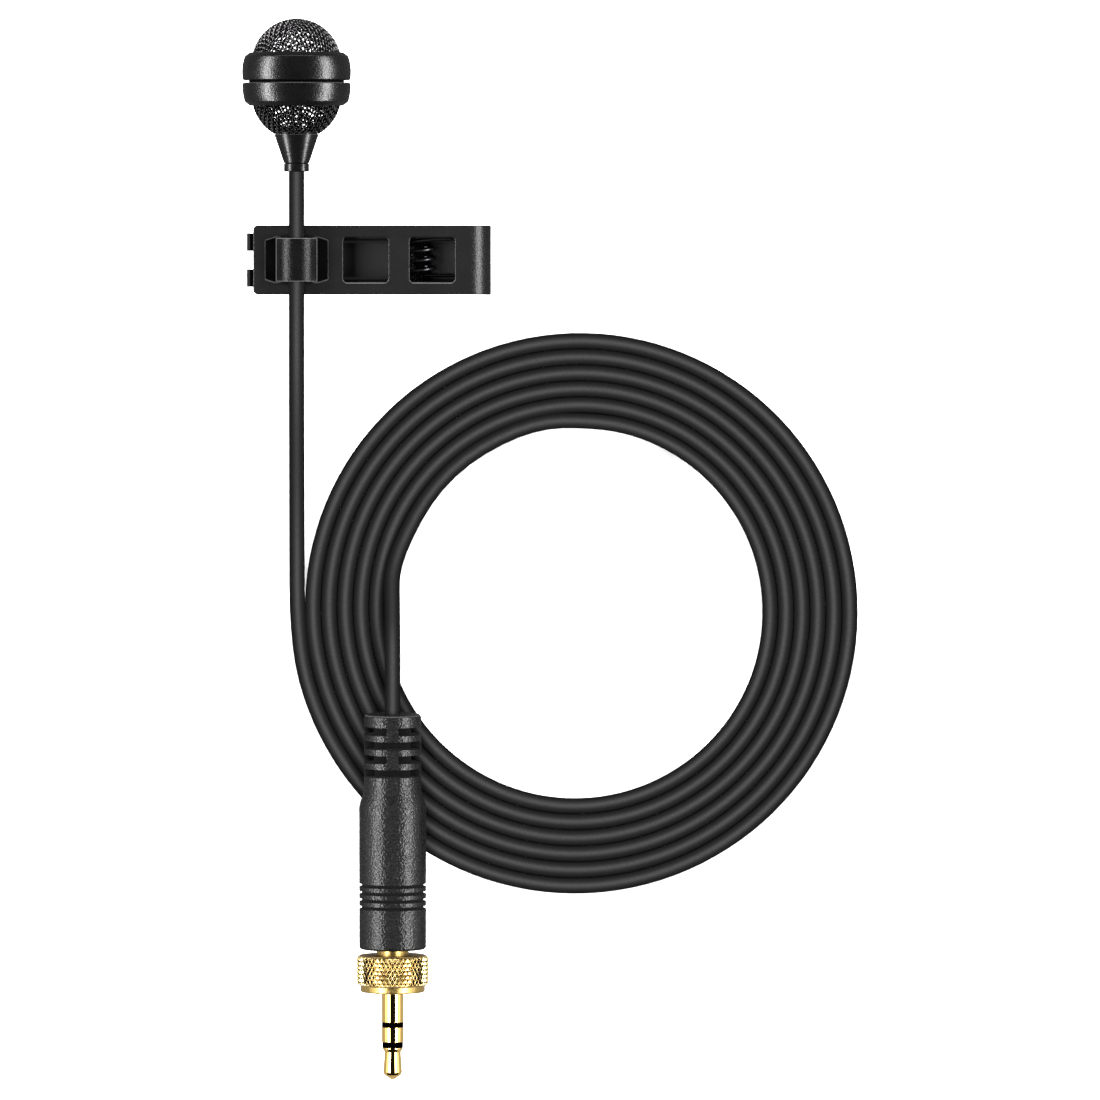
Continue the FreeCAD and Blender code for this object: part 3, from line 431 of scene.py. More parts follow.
def cable_points():
    """The route of part.py: lead, coil and tail, from the neck to inside the plug's boot."""
    level, centre_x, centre_y = HEAD_ORIGIN.z, COIL_CENTRE_X, COIL_CENTRE_Y
    points = [
        Vector((0, HEAD_ORIGIN.y + 5.2 * MM, level)),
        Vector((0, -8 * MM, level)),
        Vector((0, -20 * MM, level)),
        Vector((0, -42 * MM, CABLE_RADIUS)),
    ]
    steps = round(COIL_TURNS * POINTS_PER_TURN)
    outward = 1 / math.cos(math.pi / POINTS_PER_TURN)
    for step in range(steps):
        turns = (step + 0.5) / POINTS_PER_TURN
        angle = math.pi + 2 * math.pi * turns
        reach = (centre_x - COIL_PITCH * turns) * outward
        points.append(Vector((
            centre_x + reach * math.cos(angle), centre_y + reach * math.sin(angle),
            CABLE_RADIUS)))
    plug_x = PLUG_ORIGIN.x
    slope = math.tan(PLUG_TILT)
    # the last turn climbs to the plug: degrees round it, height, and how far outside the turn
    tail = ((105, CABLE_RADIUS, 0.09 * MM), (135, 1.6 * MM, 0.14 * MM),
            (165, 4.2 * MM, 0.05 * MM))
    half_step = math.radians(15)
    for degrees, height, outwards in tail:
        turns = COIL_TURNS + (degrees - 90) / 360
        angle = math.radians(degrees)
        reach = (centre_x - COIL_PITCH * turns) / math.cos(half_step) + outwards
        points.append(Vector((
            centre_x + reach * math.cos(angle), centre_y + reach * math.sin(angle), height)))
    points.append(Vector((plug_x - 0.06 * MM, -55 * MM, 7.2 * MM)))
    for ahead in (9.8 * MM, -14 * MM):
        points.append(Vector((plug_x, PLUG_ORIGIN.y + ahead, PLUG_ORIGIN.z + ahead * slope)))
    return points


def build_cable(plug_pieces):
    curve = bpy.data.curves.new("cable", "CURVE")
    curve.dimensions = "3D"
    curve.bevel_depth = CABLE_RADIUS
    curve.bevel_resolution = 10
    curve.resolution_u = 5
    curve.use_fill_caps = True
    points = cable_points()
    spline = curve.splines.new("NURBS")
    spline.points.add(len(points) - 1)
    for control, point in zip(spline.points, points):
        control.co = (*point, 1)
    spline.order_u = 3
    spline.use_endpoint_u = True
    cable = bpy.data.objects.new("cable", curve)
    bpy.context.scene.collection.objects.link(cable)
    finish_piece(cable, "cable_black", "microphone", "cable_lead", "cable_coil", "cable_tail")


# ------------------------------------------------------------------ head

GRILLE_RADIUS = 6.86 * MM
GRILLE_SEAT = 6.7 * MM
GRILLE_SKIRT = 0.9 * MM       # how far the cloth runs on under the ring
WIRE_PITCH = 0.72 * MM
WIRE_RADIUS = 0.152 * MM
WIRE_LIFT = 0.155 * MM
WIRE_SIDES = 6
SAMPLES_PER_CROSSING = 5


def woven_dome(name, centre, towards, opening, turned, node):
    """Two sets of crossing wires, laid over each other in turn, pressed into a dome. The
    opening is the radius of the hole round the neck, and turned is how the cloth lies."""
    rim = math.asin(GRILLE_SEAT / GRILLE_RADIUS) * GRILLE_RADIUS
    hole = math.asin(opening / GRILLE_RADIUS) * GRILLE_RADIUS
    count = math.ceil((rim + GRILLE_SKIRT) / WIRE_PITCH)
    mesh = bmesh.new()
    for crossing in (False, True):
        for number in range(-count, count):
            for run in wire_runs(number, crossing, rim, hole):
                add_tube(mesh, run, WIRE_RADIUS, WIRE_SIDES)
    flip = Matrix.Diagonal((1, 1, towards, 1))
    turn = Matrix.Rotation(math.radians(turned), 4, "Z")
    matrix = HEAD_MATRIX @ Matrix.Translation((0, 0, centre)) @ flip @ turn
    dome = object_from_bmesh(name, mesh, matrix, 60)
    finish_piece(dome, "grille_mesh", "microphone", node)


def wire_runs(number, crossing, rim, hole):
    """The stretches of one wire of the cloth, which the hole may cut in two. Scraps of three
    points or fewer are left out."""
    reach = rim + GRILLE_SKIRT
    across = (number + 0.5) * WIRE_PITCH
    if abs(across) >= reach:
        return []
    half = math.sqrt(reach**2 - across**2)
    samples = max(2, round(2 * half / (WIRE_PITCH / SAMPLES_PER_CROSSING)))
    side = -1 if number % 2 else 1
    if crossing:
        side = -side
    runs = [[]]
    for sample in range(samples + 1):
        along = -half + 2 * half * sample / samples
        u, v = (along, across) if crossing else (across, along)
        distance = math.hypot(u, v)
        if distance < hole:
            runs.append([])
            continue
        lift = WIRE_LIFT * side * math.sin(math.pi * along / WIRE_PITCH)
        runs[-1].append(dome_point(u, v, distance, lift, rim))
    return [run for run in runs if len(run) > 3]


def dome_point(u, v, distance, lift, rim):
    """A point of the flat cloth on the dome, or on the short skirt below its rim."""
    angle = min(distance, rim) / GRILLE_RADIUS
    radius = GRILLE_RADIUS + lift
    direction = Vector((u, v, 0)) / max(distance, 1e-9)
    flat = direction * (radius * math.sin(angle))
    return flat + Vector((0, 0, radius * math.cos(angle) - max(0, distance - rim)))


def head_ring(name, start, end, towards):
    """A barrel-shaped ring, widest at the groove, with soft edges."""
    widest, shoulder, rim = 8.54 * MM, 8.2 * MM, 7.38 * MM
    bulge = 7.5 * MM
    brow = start + towards * 0.14 * MM
    shoulder_at = end - towards * 0.6 * MM
    corners = [(GRILLE_SEAT, start), (widest - 0.22 * MM, start, 0.06 * MM),
               (widest, brow, 0.08 * MM)]
    corners += barrel_points(widest, brow, shoulder, shoulder_at, bulge, 10)
    corners += [(shoulder, shoulder_at, 0.35 * MM), (rim, end, 0.12 * MM), (GRILLE_SEAT, end)]
    ring = lathe(name, corners, HEAD_MATRIX)
    # a painted highlight goes on the front ring's rim, and on the rear ring's widest edge at the groove
    mark_painted_edge_highlight(ring, max(start, end), 7.3 * MM if towards > 0 else 8.3 * MM)
    finish_piece(ring, "ring_black", "microphone", name)


def mark_painted_edge_highlight(piece, edge, least_radius):
    """Marks a turned piece's edge towards the head's tip, to be painted pale as a highlight."""
    def gets_painted_highlight(face):
        place = face.center - HEAD_ORIGIN
        return (-0.02 * MM < edge - place.y < 0.14 * MM
                and math.hypot(place.x, place.z) > least_radius)

    mark(piece, "painted_highlight_faces", gets_painted_highlight)


def barrel_points(radius_a, station_a, radius_b, station_b, bulge, steps):
    """Points strictly between two ends of an arc that bulges outwards."""
    a, b = Vector((radius_a, station_a)), Vector((radius_b, station_b))
    chord = b - a
    inward = Vector((-abs(chord.y), chord.x * (1 if chord.y > 0 else -1))).normalized()
    centre = (a + b) / 2 + inward * math.sqrt(bulge**2 - (chord.length / 2) ** 2)
    start, end = a - centre, b - centre
    turn = start.angle_signed(end)
    made = []
    for step in range(1, steps):
        spun = Matrix.Rotation(-turn * step / steps, 2) @ start
        made.append(tuple(centre + spun))
    return made


def build_head():
    woven_dome("front_grille_wire", 17.15 * MM, 1, 0, 29, "front_grille")
    woven_dome("rear_grille_wire", 12.17 * MM, -1, 3.4 * MM, 37, "rear_grille")
    head_ring("front_ring", 14.48 * MM, 18.92 * MM, 1)
    head_ring("rear_ring", 14.13 * MM, 10.46 * MM, -1)
    # a band on the groove's floor in the core's dark matt coating: painted shade in the groove between the rings
    band = lathe("groove_floor", [
        (6.9 * MM, 14.0 * MM), (7.54 * MM, 14.0 * MM), (7.54 * MM, 14.5 * MM),
        (6.9 * MM, 14.5 * MM)], HEAD_MATRIX)
    finish_piece(band, "core_black", "microphone")
    neck = lathe("neck", [
        (1.25 * MM, 1.36 * MM), (1.92 * MM, 1.36 * MM), (2.02 * MM, 1.42 * MM, 0.05 * MM),
        (3.53 * MM, 5.9 * MM, 0.06 * MM), (3.3 * MM, 6.0 * MM, 0.05 * MM),
        (3.3 * MM, 6.6 * MM), (2.3 * MM, 6.6 * MM), (2.3 * MM, 3.0 * MM),
        (1.25 * MM, 3.0 * MM)], HEAD_MATRIX)
    # the neck's front edge is painted pale as a highlight
    mark_painted_edge_highlight(neck, 6.0 * MM, 3.35 * MM)
    finish_piece(neck, "neck_black", "microphone", "neck_cone")
    gland = lathe("gland", [
        (1.22 * MM, 0), (1.85 * MM, 0, 0.08 * MM), (2.0 * MM, 0.14 * MM, 0.08 * MM),
        (2.0 * MM, 1.2 * MM, 0.05 * MM), (1.86 * MM, 1.34 * MM, 0.04 * MM),
        (1.22 * MM, 1.34 * MM)], HEAD_MATRIX)
    finish_piece(gland, "neck_black", "microphone", "cable_gland")


# ------------------------------------------------------------------ clip

PLATE_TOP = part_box("clip_front_plate")[1].z
PLATE_THICKNESS = 0.8 * MM
PLATE_FRONT = -6.89 * MM
PLATE_END = 30.8 * MM
PLATE_HALF = 5.5 * MM
PLATE_BEVEL = 0.17 * MM
CURL_RADIUS = 4.0 * MM
CURL_STEPS = 16
WINDOW_STARTS = (7.38 * MM, 17.92 * MM)
WINDOW_SIDE = 7.15 * MM
WINDOW_CORNER = 0.55 * MM
# the slot for the saddle's right-hand leg, in millimetres; the left-hand one mirrors it
SLOT_OUTLINE = [(2.65, -3.5), (3.4, -3.5), (4.88, -3.05), (4.88, 3.05), (3.4, 3.5), (2.65, 3.5)]
SADDLE_RADIUS = 3.3 * MM
SADDLE_SHEET = 0.6 * MM
SADDLE_WIDTH = 6.9 * MM
SADDLE_TOE = 1.3 * MM         # the bent ends under the leaf stop this far from the middle
LUG_WIDTH = 3.8 * MM
LUG_THICKNESS = 0.6 * MM
LUG_OFFSET = 4.4 * MM
SPRING_RADIUS = 2.4 * MM
SPRING_WIRE = 0.27 * MM       # the wire's radius
SPRING_PITCH = 1.55 * MM
SPRING_TURNS = 3
STEPS_PER_TURN = 40
SPRING_START = -2.4 * MM


def square_hole(start, side, corner):
    half = side / 2
    return rounded_path([(start, -half, corner), (start + side, -half, corner),
                         (start + side, half, corner), (start, half, corner)], 6)


def on_bevel(slope):
    """Whether a face slopes as those of a rounded edge do, and is neither flat nor upright."""
    return 0.2 < slope < 0.97


def painted_rim_highlight(face):
    """Faces painted pale as a highlight: the rims of the saddle's slots, and the windows' rims on the plug's side.
    """
    if not on_bevel(face.normal.z) or abs(face.center.y) > 4.2 * MM:
        return False
    on_slot = abs(face.center.x) < 5.4 * MM
    windows_end = WINDOW_STARTS[1] + WINDOW_SIDE
    in_windows = WINDOW_STARTS[0] - 0.4 * MM < face.center.x < windows_end + 0.4 * MM
    return on_slot or (in_windows and face.normal.y > 0.25)


def build_leaf():
    """The clip's upper leaf: pierced flat, then its end curled down."""
    curl_start = PLATE_END - CURL_RADIUS
    middle = CURL_RADIUS - PLATE_THICKNESS / 2
    flat_end = curl_start + middle * math.pi / 2
    corner, notch = 0.8 * MM, 0.1 * MM
    outer = rounded_path([
        (PLATE_FRONT, -PLATE_HALF, corner), (flat_end, -PLATE_HALF, 0.25 * MM),
        (flat_end, -3.6 * MM, 0.1 * MM), (flat_end - notch, -3.4 * MM, 0.1 * MM),
        (flat_end - notch, 3.4 * MM, 0.1 * MM), (flat_end, 3.6 * MM, 0.1 * MM),
        (flat_end, PLATE_HALF, 0.25 * MM), (PLATE_FRONT, PLATE_HALF, corner)], 8)
    holes = [square_hole(start, WINDOW_SIDE, WINDOW_CORNER) for start in WINDOW_STARTS]
    for side in (1, -1):
        holes.append(rounded_path(
            [(side * x * MM, y * MM, 0.15 * MM) for x, y in SLOT_OUTLINE], 4))
    place = Matrix.Translation((0, 0, PLATE_TOP - PLATE_THICKNESS / 2))
    mesh = plate("leaf", [outer] + holes, PLATE_THICKNESS, PLATE_BEVEL, place)
    for step in range(1, CURL_STEPS):
        where = curl_start + (flat_end - curl_start) * step / CURL_STEPS
        everything = mesh.verts[:] + mesh.edges[:] + mesh.faces[:]
        bmesh.ops.bisect_plane(mesh, geom=everything, plane_co=(where, 0, 0), plane_no=(1, 0, 0))
    for vert in mesh.verts:
        beyond = vert.co.x - curl_start
        if beyond > 0:
            angle = beyond / middle
            reach = CURL_RADIUS - (PLATE_TOP - vert.co.z)
            vert.co.x = curl_start + reach * math.sin(angle)
            vert.co.z = PLATE_TOP - CURL_RADIUS + reach * math.cos(angle)
    leaf = object_from_bmesh("clip_leaf", mesh, sharp=40)
    # the marked rims are painted pale: a painted highlight
    mark(leaf, "painted_highlight_faces", painted_rim_highlight)
    finish_piece(leaf, "clip_black", "clip", "clip_front_plate")


def build_lugs():
    """The two ears under the leaf that carry the pivot pin."""
    pivot = Vector(joint("jaw_hinge")["pos_m"])
    half, narrow = LUG_WIDTH / 2, LUG_WIDTH / 2 * 0.9
    top = PLATE_TOP - PLATE_THICKNESS + 0.05 * MM
    low = pivot.z - half
    outline = rounded_path([
        (pivot.x + half, top), (pivot.x + half, pivot.z), (pivot.x + narrow, low, half * 0.85),
        (pivot.x - narrow, low, half * 0.85), (pivot.x - half, pivot.z), (pivot.x - half, top)], 10)
    upright = Matrix.Rotation(math.pi / 2, 4, "X")
    for name, middle in (("clip_lug_left", LUG_OFFSET), ("clip_lug_right", -LUG_OFFSET)):
        place = Matrix.Translation((0, middle, 0)) @ upright
        mesh = plate(name, [outline], LUG_THICKNESS, 0.08 * MM, place)
        finish_piece(object_from_bmesh(name, mesh), "clip_black", "clip")


def build_saddle():
    """The arched strap over the cable, bent from thin sheet."""
    outer, inner = SADDLE_RADIUS, SADDLE_RADIUS - SADDLE_SHEET
    foot = PLATE_TOP - PLATE_THICKNESS - 0.55 * MM
    under = PLATE_TOP - PLATE_THICKNESS - 0.02 * MM
    arc = [math.pi * step / 32 for step in range(33)]
    outline = [(outer * math.cos(a), PLATE_TOP + outer * math.sin(a)) for a in arc]
    outline += [(-outer, foot), (-SADDLE_TOE, foot), (-SADDLE_TOE, under), (-inner, under)]
    outline += [(inner * math.cos(a), PLATE_TOP + inner * math.sin(a)) for a in reversed(arc)]
    outline += [(inner, under), (SADDLE_TOE, under), (SADDLE_TOE, foot), (outer, foot)]
    turn = Matrix.Rotation(math.pi / 2, 4, "X")
    mesh = plate("saddle", [outline], SADDLE_WIDTH, 0.12 * MM, turn)
    saddle = object_from_bmesh("saddle_strap", mesh, sharp=40)
    # the strap's marked edges are painted pale: a painted highlight
    mark(saddle, "painted_highlight_faces", painted_saddle_highlight)
    finish_piece(saddle, "clip_black", "clip", "cable_saddle", finish=SADDLE_BLACK)


def painted_saddle_highlight(face):
    """Faces painted pale as a highlight: the bevels along the strap's outer edges, and its sides above the leaf.
    """
    bevel = on_bevel(abs(face.normal.y))
    side = abs(face.normal.x) > 0.95 and face.normal.z > 0.06
    reach = math.hypot(face.center.x, face.center.z - PLATE_TOP)
    return (bevel or side) and reach > SADDLE_RADIUS - 0.25 * MM


def coil_point(pivot, angle, along):
    """A point of the spring, by its angle round the pin and its place along it."""
    return pivot + Vector((SPRING_RADIUS * math.cos(angle), along, SPRING_RADIUS * math.sin(angle)))


def build_spring():
    """Three and a half open turns of wire round the pin, and a leg that runs to each leaf. The
    lower leg rides on the jaw, and starts inside the coil's first turn."""
    pivot = Vector(joint("jaw_hinge")["pos_m"])
    leg_side = SPRING_START + SPRING_PITCH * SPRING_TURNS + 1.0 * MM
    points = []
    for step in range(SPRING_TURNS * STEPS_PER_TURN + STEPS_PER_TURN // 2 + 1):
        turns = step / STEPS_PER_TURN
        points.append(coil_point(
            pivot, -math.pi / 2 - 2 * math.pi * turns, SPRING_START + SPRING_PITCH * turns))
    points.append(pivot + Vector((2.4 * MM, leg_side, 2.15 * MM)))
    points.append(pivot + Vector((5.0 * MM, leg_side, 2.3 * MM)))
    spring = tube_along("spring_coil", points, SPRING_WIRE, 12)
    finish_piece(spring, "spring_steel", "clip", "torsion_spring")
    leg = [coil_point(pivot, math.radians(-120 + 10 * step), SPRING_START) for step in range(4)]
    leg.append(pivot + Vector((2.0 * MM, SPRING_START, -SPRING_RADIUS)))
    leg.append(pivot + Vector((6.4 * MM, SPRING_START, -2.3 * MM)))
    lower_leg = tube_along("spring_lower_leg", leg, SPRING_WIRE, 12)
    finish_piece(lower_leg, "spring_steel", "jaw")


def soften(node, width):
    """Rounds the edges of a CAD piece that is shown as it is."""
    bevel = frame["nodes"][node].modifiers.new("edges", "BEVEL")
    bevel.width = width
    bevel.segments = 2
    bevel.limit_method = "ANGLE"
    bevel.angle_limit = math.radians(40)
    bevel.harden_normals = False


def build_clip():
    build_leaf()
    build_lugs()
    build_saddle()
    build_spring()
    soften("clip_rear_jaw", 0.1 * MM)


# ------------------------------------------------------------------ plug


def edge_steps(start, end, width, steps=4):
    """Stations where a groove's wall starts and ends, close together."""
    near = [start - width / 2 + width * step / steps for step in range(steps + 1)]
    far = [end - width / 2 + width * step / steps for step in range(steps + 1)]
    return near + far


def rise(value, start, end, width):
    """0 outside start to end, 1 inside, with smooth walls of the given width."""
    share = min(value - start, end - value) / width + 0.5
    share = max(0.0, min(1.0, share))
    return share * share * (3 - 2 * share)


BOOT_BACK = 0.3 * MM          # the boot sits this much behind its CAD place
BOOT_REAR = 4.53 * MM
BOOT_GRIP = 5.31 * MM
BOOT_LENGTH = 37.4 * MM
BOOT_FLARE = 13.4 * MM        # where the boot widens to its grip, halfway up
FLARE_LENGTH = 3.4 * MM
ROUND_REAR = 0.65 * MM
ROUND_FRONT = 0.5 * MM
SLOT_STARTS = [(2.05 + 2.22 * row) * MM for row in range(4)]
SLOT_WIDTH = 1.12 * MM
SLOT_DEPTH = 1.6 * MM
SLOT_WALL = 0.16 * MM
BRIDGE_HALF = 1.0 * MM
RIB_STARTS = [(26.95 + 1.17 * row) * MM for row in range(4)]
RIB_WIDTH = 0.42 * MM
RIB_DEPTH = 0.42 * MM
RIB_WALL = 0.12 * MM


def boot_radius(station):
    """The boot's outline without its slots and grooves."""
    flare = rise(station, BOOT_FLARE, FAR, FLARE_LENGTH)
    radius = BOOT_REAR + (BOOT_GRIP - BOOT_REAR) * flare
    for to_end, rounding in ((station, ROUND_REAR), (BOOT_LENGTH - station, ROUND_FRONT)):
        if to_end < rounding:
            radius -= rounding - math.sqrt(max(0, rounding**2 - (rounding - to_end) ** 2))
    return radius


def boot_point(angle, station):
    """A point of the boot's skin, with slots that leave two bridges in each row."""
    radius = boot_radius(station)
    for row, start in enumerate(SLOT_STARTS):
        inside = rise(station, start, start + SLOT_WIDTH, SLOT_WALL)
        if inside:
            across = abs(math.sin(angle) if row % 2 else math.cos(angle)) * BOOT_REAR
            open_here = rise(across, BRIDGE_HALF, FAR, SLOT_WALL)
            radius -= SLOT_DEPTH * inside * open_here
    for start in RIB_STARTS:
        radius -= RIB_DEPTH * rise(station, start, start + RIB_WIDTH, RIB_WALL)
    return Vector((radius * math.cos(angle), radius * math.sin(angle), station))


def thinned(values, least):
    """The values in order, without those too close to the one before."""
    values = sorted(values)
    kept = values[:1]
    for value in values[1:]:
        if value - kept[-1] > least:
            kept.append(value)
    return kept


def boot_angles():
    """Evenly spaced angles, and more of them at the walls of the bridges."""
    angles = even_angles(FINE_STEPS)
    for quarter in range(4):
        for side in (-1, 1):
            for step in range(5):
                across = BRIDGE_HALF + SLOT_WALL * (step / 4 - 0.5)
                angle = quarter * math.pi / 2 + side * math.asin(across / BOOT_REAR)
                angles.append(angle % (2 * math.pi))
    return thinned(angles, 1e-4)


def boot_stations():
    """Evenly spaced stations, and more of them at the rounded ends and the walls."""
    stations = [BOOT_LENGTH * step / 110 for step in range(111)]
    for step in range(9):
        share = 1 - math.cos(math.pi / 2 * step / 8)
        stations.append(ROUND_REAR * share)
        stations.append(BOOT_LENGTH - ROUND_FRONT * share)
    for start in SLOT_STARTS:
        stations += edge_steps(start, start + SLOT_WIDTH, SLOT_WALL)
    for start in RIB_STARTS:
        stations += edge_steps(start, start + RIB_WIDTH, RIB_WALL, 3)
    return thinned(stations, 0.015 * MM)


def build_boot():
    """The moulded boot, with the mouths of its bores for the cable and the stem."""
    angles = boot_angles()
    mesh, rows = grid_shell(boot_stations(), angles, boot_point)
    for row, bore, mouth, deep in ((rows[0], 1.25 * MM, 0, 1.5 * MM),
                                   (rows[-1], 2.7 * MM, BOOT_LENGTH, BOOT_LENGTH - 1.0 * MM)):
        for station in (mouth, deep):
            after = ring_of(mesh, bore, station, angles)
            join_rows(mesh, row, after)
            row = after
    back = PLUG_MATRIX @ Matrix.Translation((0, 0, -BOOT_BACK))
    boot = object_from_bmesh("boot", mesh, back, 50)
    from_world = back.inverted()

    # the slot floors are painted black and matt: painted shade
    def takes_painted_shade(face):
        place = from_world @ face.center
        return 0 < place.z < BOOT_LENGTH and place.xy.length < boot_radius(place.z) - 0.18 * MM

    # the rear rim's rounding is painted pale: a painted highlight
    def gets_painted_highlight(face):
        return 0.08 * MM < (from_world @ face.center).z < 0.3 * MM

    mark(boot, "painted_shade_faces", takes_painted_shade)
    mark(boot, "painted_highlight_faces", gets_painted_highlight)
    return finish_piece(boot, "boot_rubber", "microphone", "plug_boot")


NUT_START, NUT_SHOULDER, NUT_END = 38.1 * MM, 42.8 * MM, 43.9 * MM
NUT_RADIUS = 5.76 * MM
NUT_BORE = 2.6 * MM
NUT_MOUTH = 4.0 * MM
KNURLS = 48
KNURL_DEPTH = 0.36 * MM
KNURL_SLANT = math.radians(30)
KNURL_BEVEL = 0.5 * MM
KNURL_DROP = 0.45 * MM        # how far in the bevel starts
KNURL_ROWS = 64
COLLAR_RADIUS = 5.13          # in millimetres, as turned_piece takes it


def knurl_point(angle, station):
    """Diamond knurling: two sets of crossing vee grooves, bevelled off at both ends."""
    drift = (station - NUT_START) * math.tan(KNURL_SLANT) / NUT_RADIUS
    cut = 0
    for way in (1, -1):
        phase = (angle + way * drift) * KNURLS / (2 * math.pi)
        cut = max(cut, 1 - abs(phase % 1 - 0.5) * 2)
    radius = NUT_RADIUS - KNURL_DEPTH * cut
    from_edge = min(station - NUT_START, NUT_SHOULDER - station)
    if from_edge < KNURL_BEVEL:
        radius = min(radius, NUT_RADIUS - KNURL_DROP * (1 - from_edge / KNURL_BEVEL) ** 1.3)
    return Vector((radius * math.cos(angle), radius * math.sin(angle), station))


def build_nut():
    """The locking nut's knurled body, bored for the stem, and its plain threaded collar."""
    angles = even_angles(KNURLS * 12)
    stations = [NUT_START + (NUT_SHOULDER - NUT_START) * step / KNURL_ROWS
                for step in range(KNURL_ROWS + 1)]
    mesh, rows = grid_shell(stations, angles, knurl_point)
    before = rows[-1]
    floor = NUT_START + 1.4 * MM
    for radius, station in ((NUT_MOUTH + 0.4 * MM, NUT_SHOULDER), (NUT_MOUTH, NUT_SHOULDER),
                            (NUT_MOUTH, floor), (NUT_BORE, floor), (NUT_BORE, NUT_START)):
        row = ring_of(mesh, radius, station, angles)
        join_rows(mesh, before, row)
        before = row
    join_rows(mesh, before, rows[0])
    nut = object_from_bmesh("knurled_nut", mesh, PLUG_MATRIX, 20)
    finish_piece(nut, "gold_plate", "nut", "locking_nut", finish=GOLD_CUT)
    # a thin disc over the nut's rear face, in the darker copy of the gold: painted reflection of the boot
    face_start = NUT_START / MM - 0.04
    back = turned_piece("nut_rear_face", "gold_plate", None, [
        (2.65, face_start), (5.28, face_start), (5.28, face_start + 0.2),
        (2.65, face_start + 0.2)], "nut", SHADED_GOLD_FACE)
    shoulder, end, mouth = NUT_SHOULDER / MM, NUT_END / MM, NUT_MOUTH / MM
    corners = [(mouth, shoulder - 0.4), (COLLAR_RADIUS - 0.3, shoulder - 0.4),
               (COLLAR_RADIUS - 0.3, shoulder), (COLLAR_RADIUS, shoulder + 0.05, 0.05),
               (COLLAR_RADIUS, end, 0.25), (mouth + 0.3, end)]
    for turn in range(2):
        corners += [(mouth, end - 0.3 - turn * 0.6), (mouth + 0.28, end - 0.6 - turn * 0.6)]
    ring = turned_piece("nut_collar", "gold_plate", None, corners, "nut", GOLD_SATIN)
    return [nut, back, ring]


def turned_piece(name, slot, node, corners, body="microphone", finish=None):
    """A turned piece of the plug, its corners in millimetres."""
    corners = [tuple(value * MM for value in corner) for corner in corners]
    piece = lathe(name, corners, PLUG_MATRIX)
    replaced = [node] if node else []
    return finish_piece(piece, slot, body, *replaced, finish=finish)


def build_contacts():
    """The stem, the pin's gold contacts and the black insulators between them."""
    soft = 0.06     # the contacts' rounded edges, in millimetres as all of these
    return [
        turned_piece("stem", "gold_plate", "plug_stem", [
            (2.0, 33.0), (3.55, 33.0), (3.55, 37.05), (2.55, 37.05), (2.55, 41.9, soft),
            (1.72, 41.9), (1.72, 36.0), (2.0, 36.0)], finish=GOLD_SATIN),
        turned_piece("sleeve_contact", "gold_plate", "plug_sleeve", [
            (1.38, 36.0), (1.7, 36.0), (1.7, 41.9), (1.75, 41.9), (1.75, 48.7, soft),
            (1.38, 48.7)]),
        turned_piece("rear_insulator", "insulator_black", "insulator_rear", [
            (1.1, 35.6), (1.34, 35.6), (1.34, 48.69), (1.71, 48.69), (1.71, 49.51), (1.1, 49.51)]),
        turned_piece("ring_contact", "gold_plate", "plug_ring_contact", [
            (0.8, 34.0), (1.05, 34.0), (1.05, 49.5), (1.75, 49.5, soft), (1.75, 51.85, soft),
            (0.8, 51.85)]),
        turned_piece("front_insulator", "insulator_black", "insulator_front", [
            (0.5, 33.6), (0.75, 33.6), (0.75, 51.84), (1.64, 51.84), (1.64, 52.76), (0.5, 52.76)]),
        turned_piece("tip_contact", "gold_plate", "plug_tip", [
            (0, 32.4), (0.45, 32.4), (0.45, 52.75), (1.6, 52.75, soft), (1.6, 52.95, 0.08),
            (1.29, 53.45, 0.15), (1.5, 56.65, 0.25), (1.34, 57.1, 0.25), (0.55, 57.62, 0.12),
            (0.35, 57.8, 0.08), (0, 57.8)]),
    ]


# ------------------------------------------------------------------ carried-over CAD nodes


def dress_cad_nodes():
    """The jaw, the pin and the inner pieces keep their CAD shape and get their real finish."""
    slots = {row["node"]: row["material_slot"] for row in frame["record"]["subparts"]}
    for name, piece in frame["nodes"].items():
        if piece.hide_render:
            continue
        paint(piece, slots[name], JAW_BLACK if name == "clip_rear_jaw" else None)


# ------------------------------------------------------------------ floor, lights and camera

# the photograph looks straight down: the point it looks at, and the width it shows
VIEW_CENTRE = Vector((40.15 * MM, -45.96 * MM, 0))
VIEW_WIDTH = 174.35 * MM
VIEW_LEVEL = 5 * MM           # the height at which the width is measured
VIEW_LENS = 1200
SENSOR = 36
CLIP_END = 100
TABLE_SIDE = 12
TABLE_DROP = 0.02 * MM        # the table lies this far under the object, and
GLOW_DROP = 0.01 * MM         # the light that it throws back comes from just above it
LIGHT_DISTANCE = 1.0
WORLD_LIGHT = 0.01
TABLE_SHADE = 0.8
SUN_ZENITH = 81
# how bright each sun makes the table, by its azimuth; 1 is white
SUN_LEVELS = {90: 1.3, 270: 0.5, 30: 0.55, 150: 0.55, 210: 0.55, 330: 0.55}


def plain_material(name, colour):
    material, _, _, shader = new_material(name)
    shader.inputs["Base Color"].default_value = (*colour, 1)
    shader.inputs["Roughness"].default_value = 0.9
    shader.inputs["Specular IOR Level"].default_value = 0.1
    return material


def flat_sheet(name, centre, side, material):
    """A square sheet that is part of the studio."""
    mesh = bmesh.new()
    for x, y in ((-1, -1), (1, -1), (1, 1), (-1, 1)):
        mesh.verts.new(centre + Vector((x * side / 2, y * side / 2, 0)))
    mesh.faces.new(mesh.verts)
    data = bpy.data.meshes.new(name)
    mesh.to_mesh(data)
    mesh.free()
    data.materials.append(material)
    sheet = bpy.data.objects.new(name, data)
    bpy.context.scene.collection.objects.link(sheet)
    return sheet


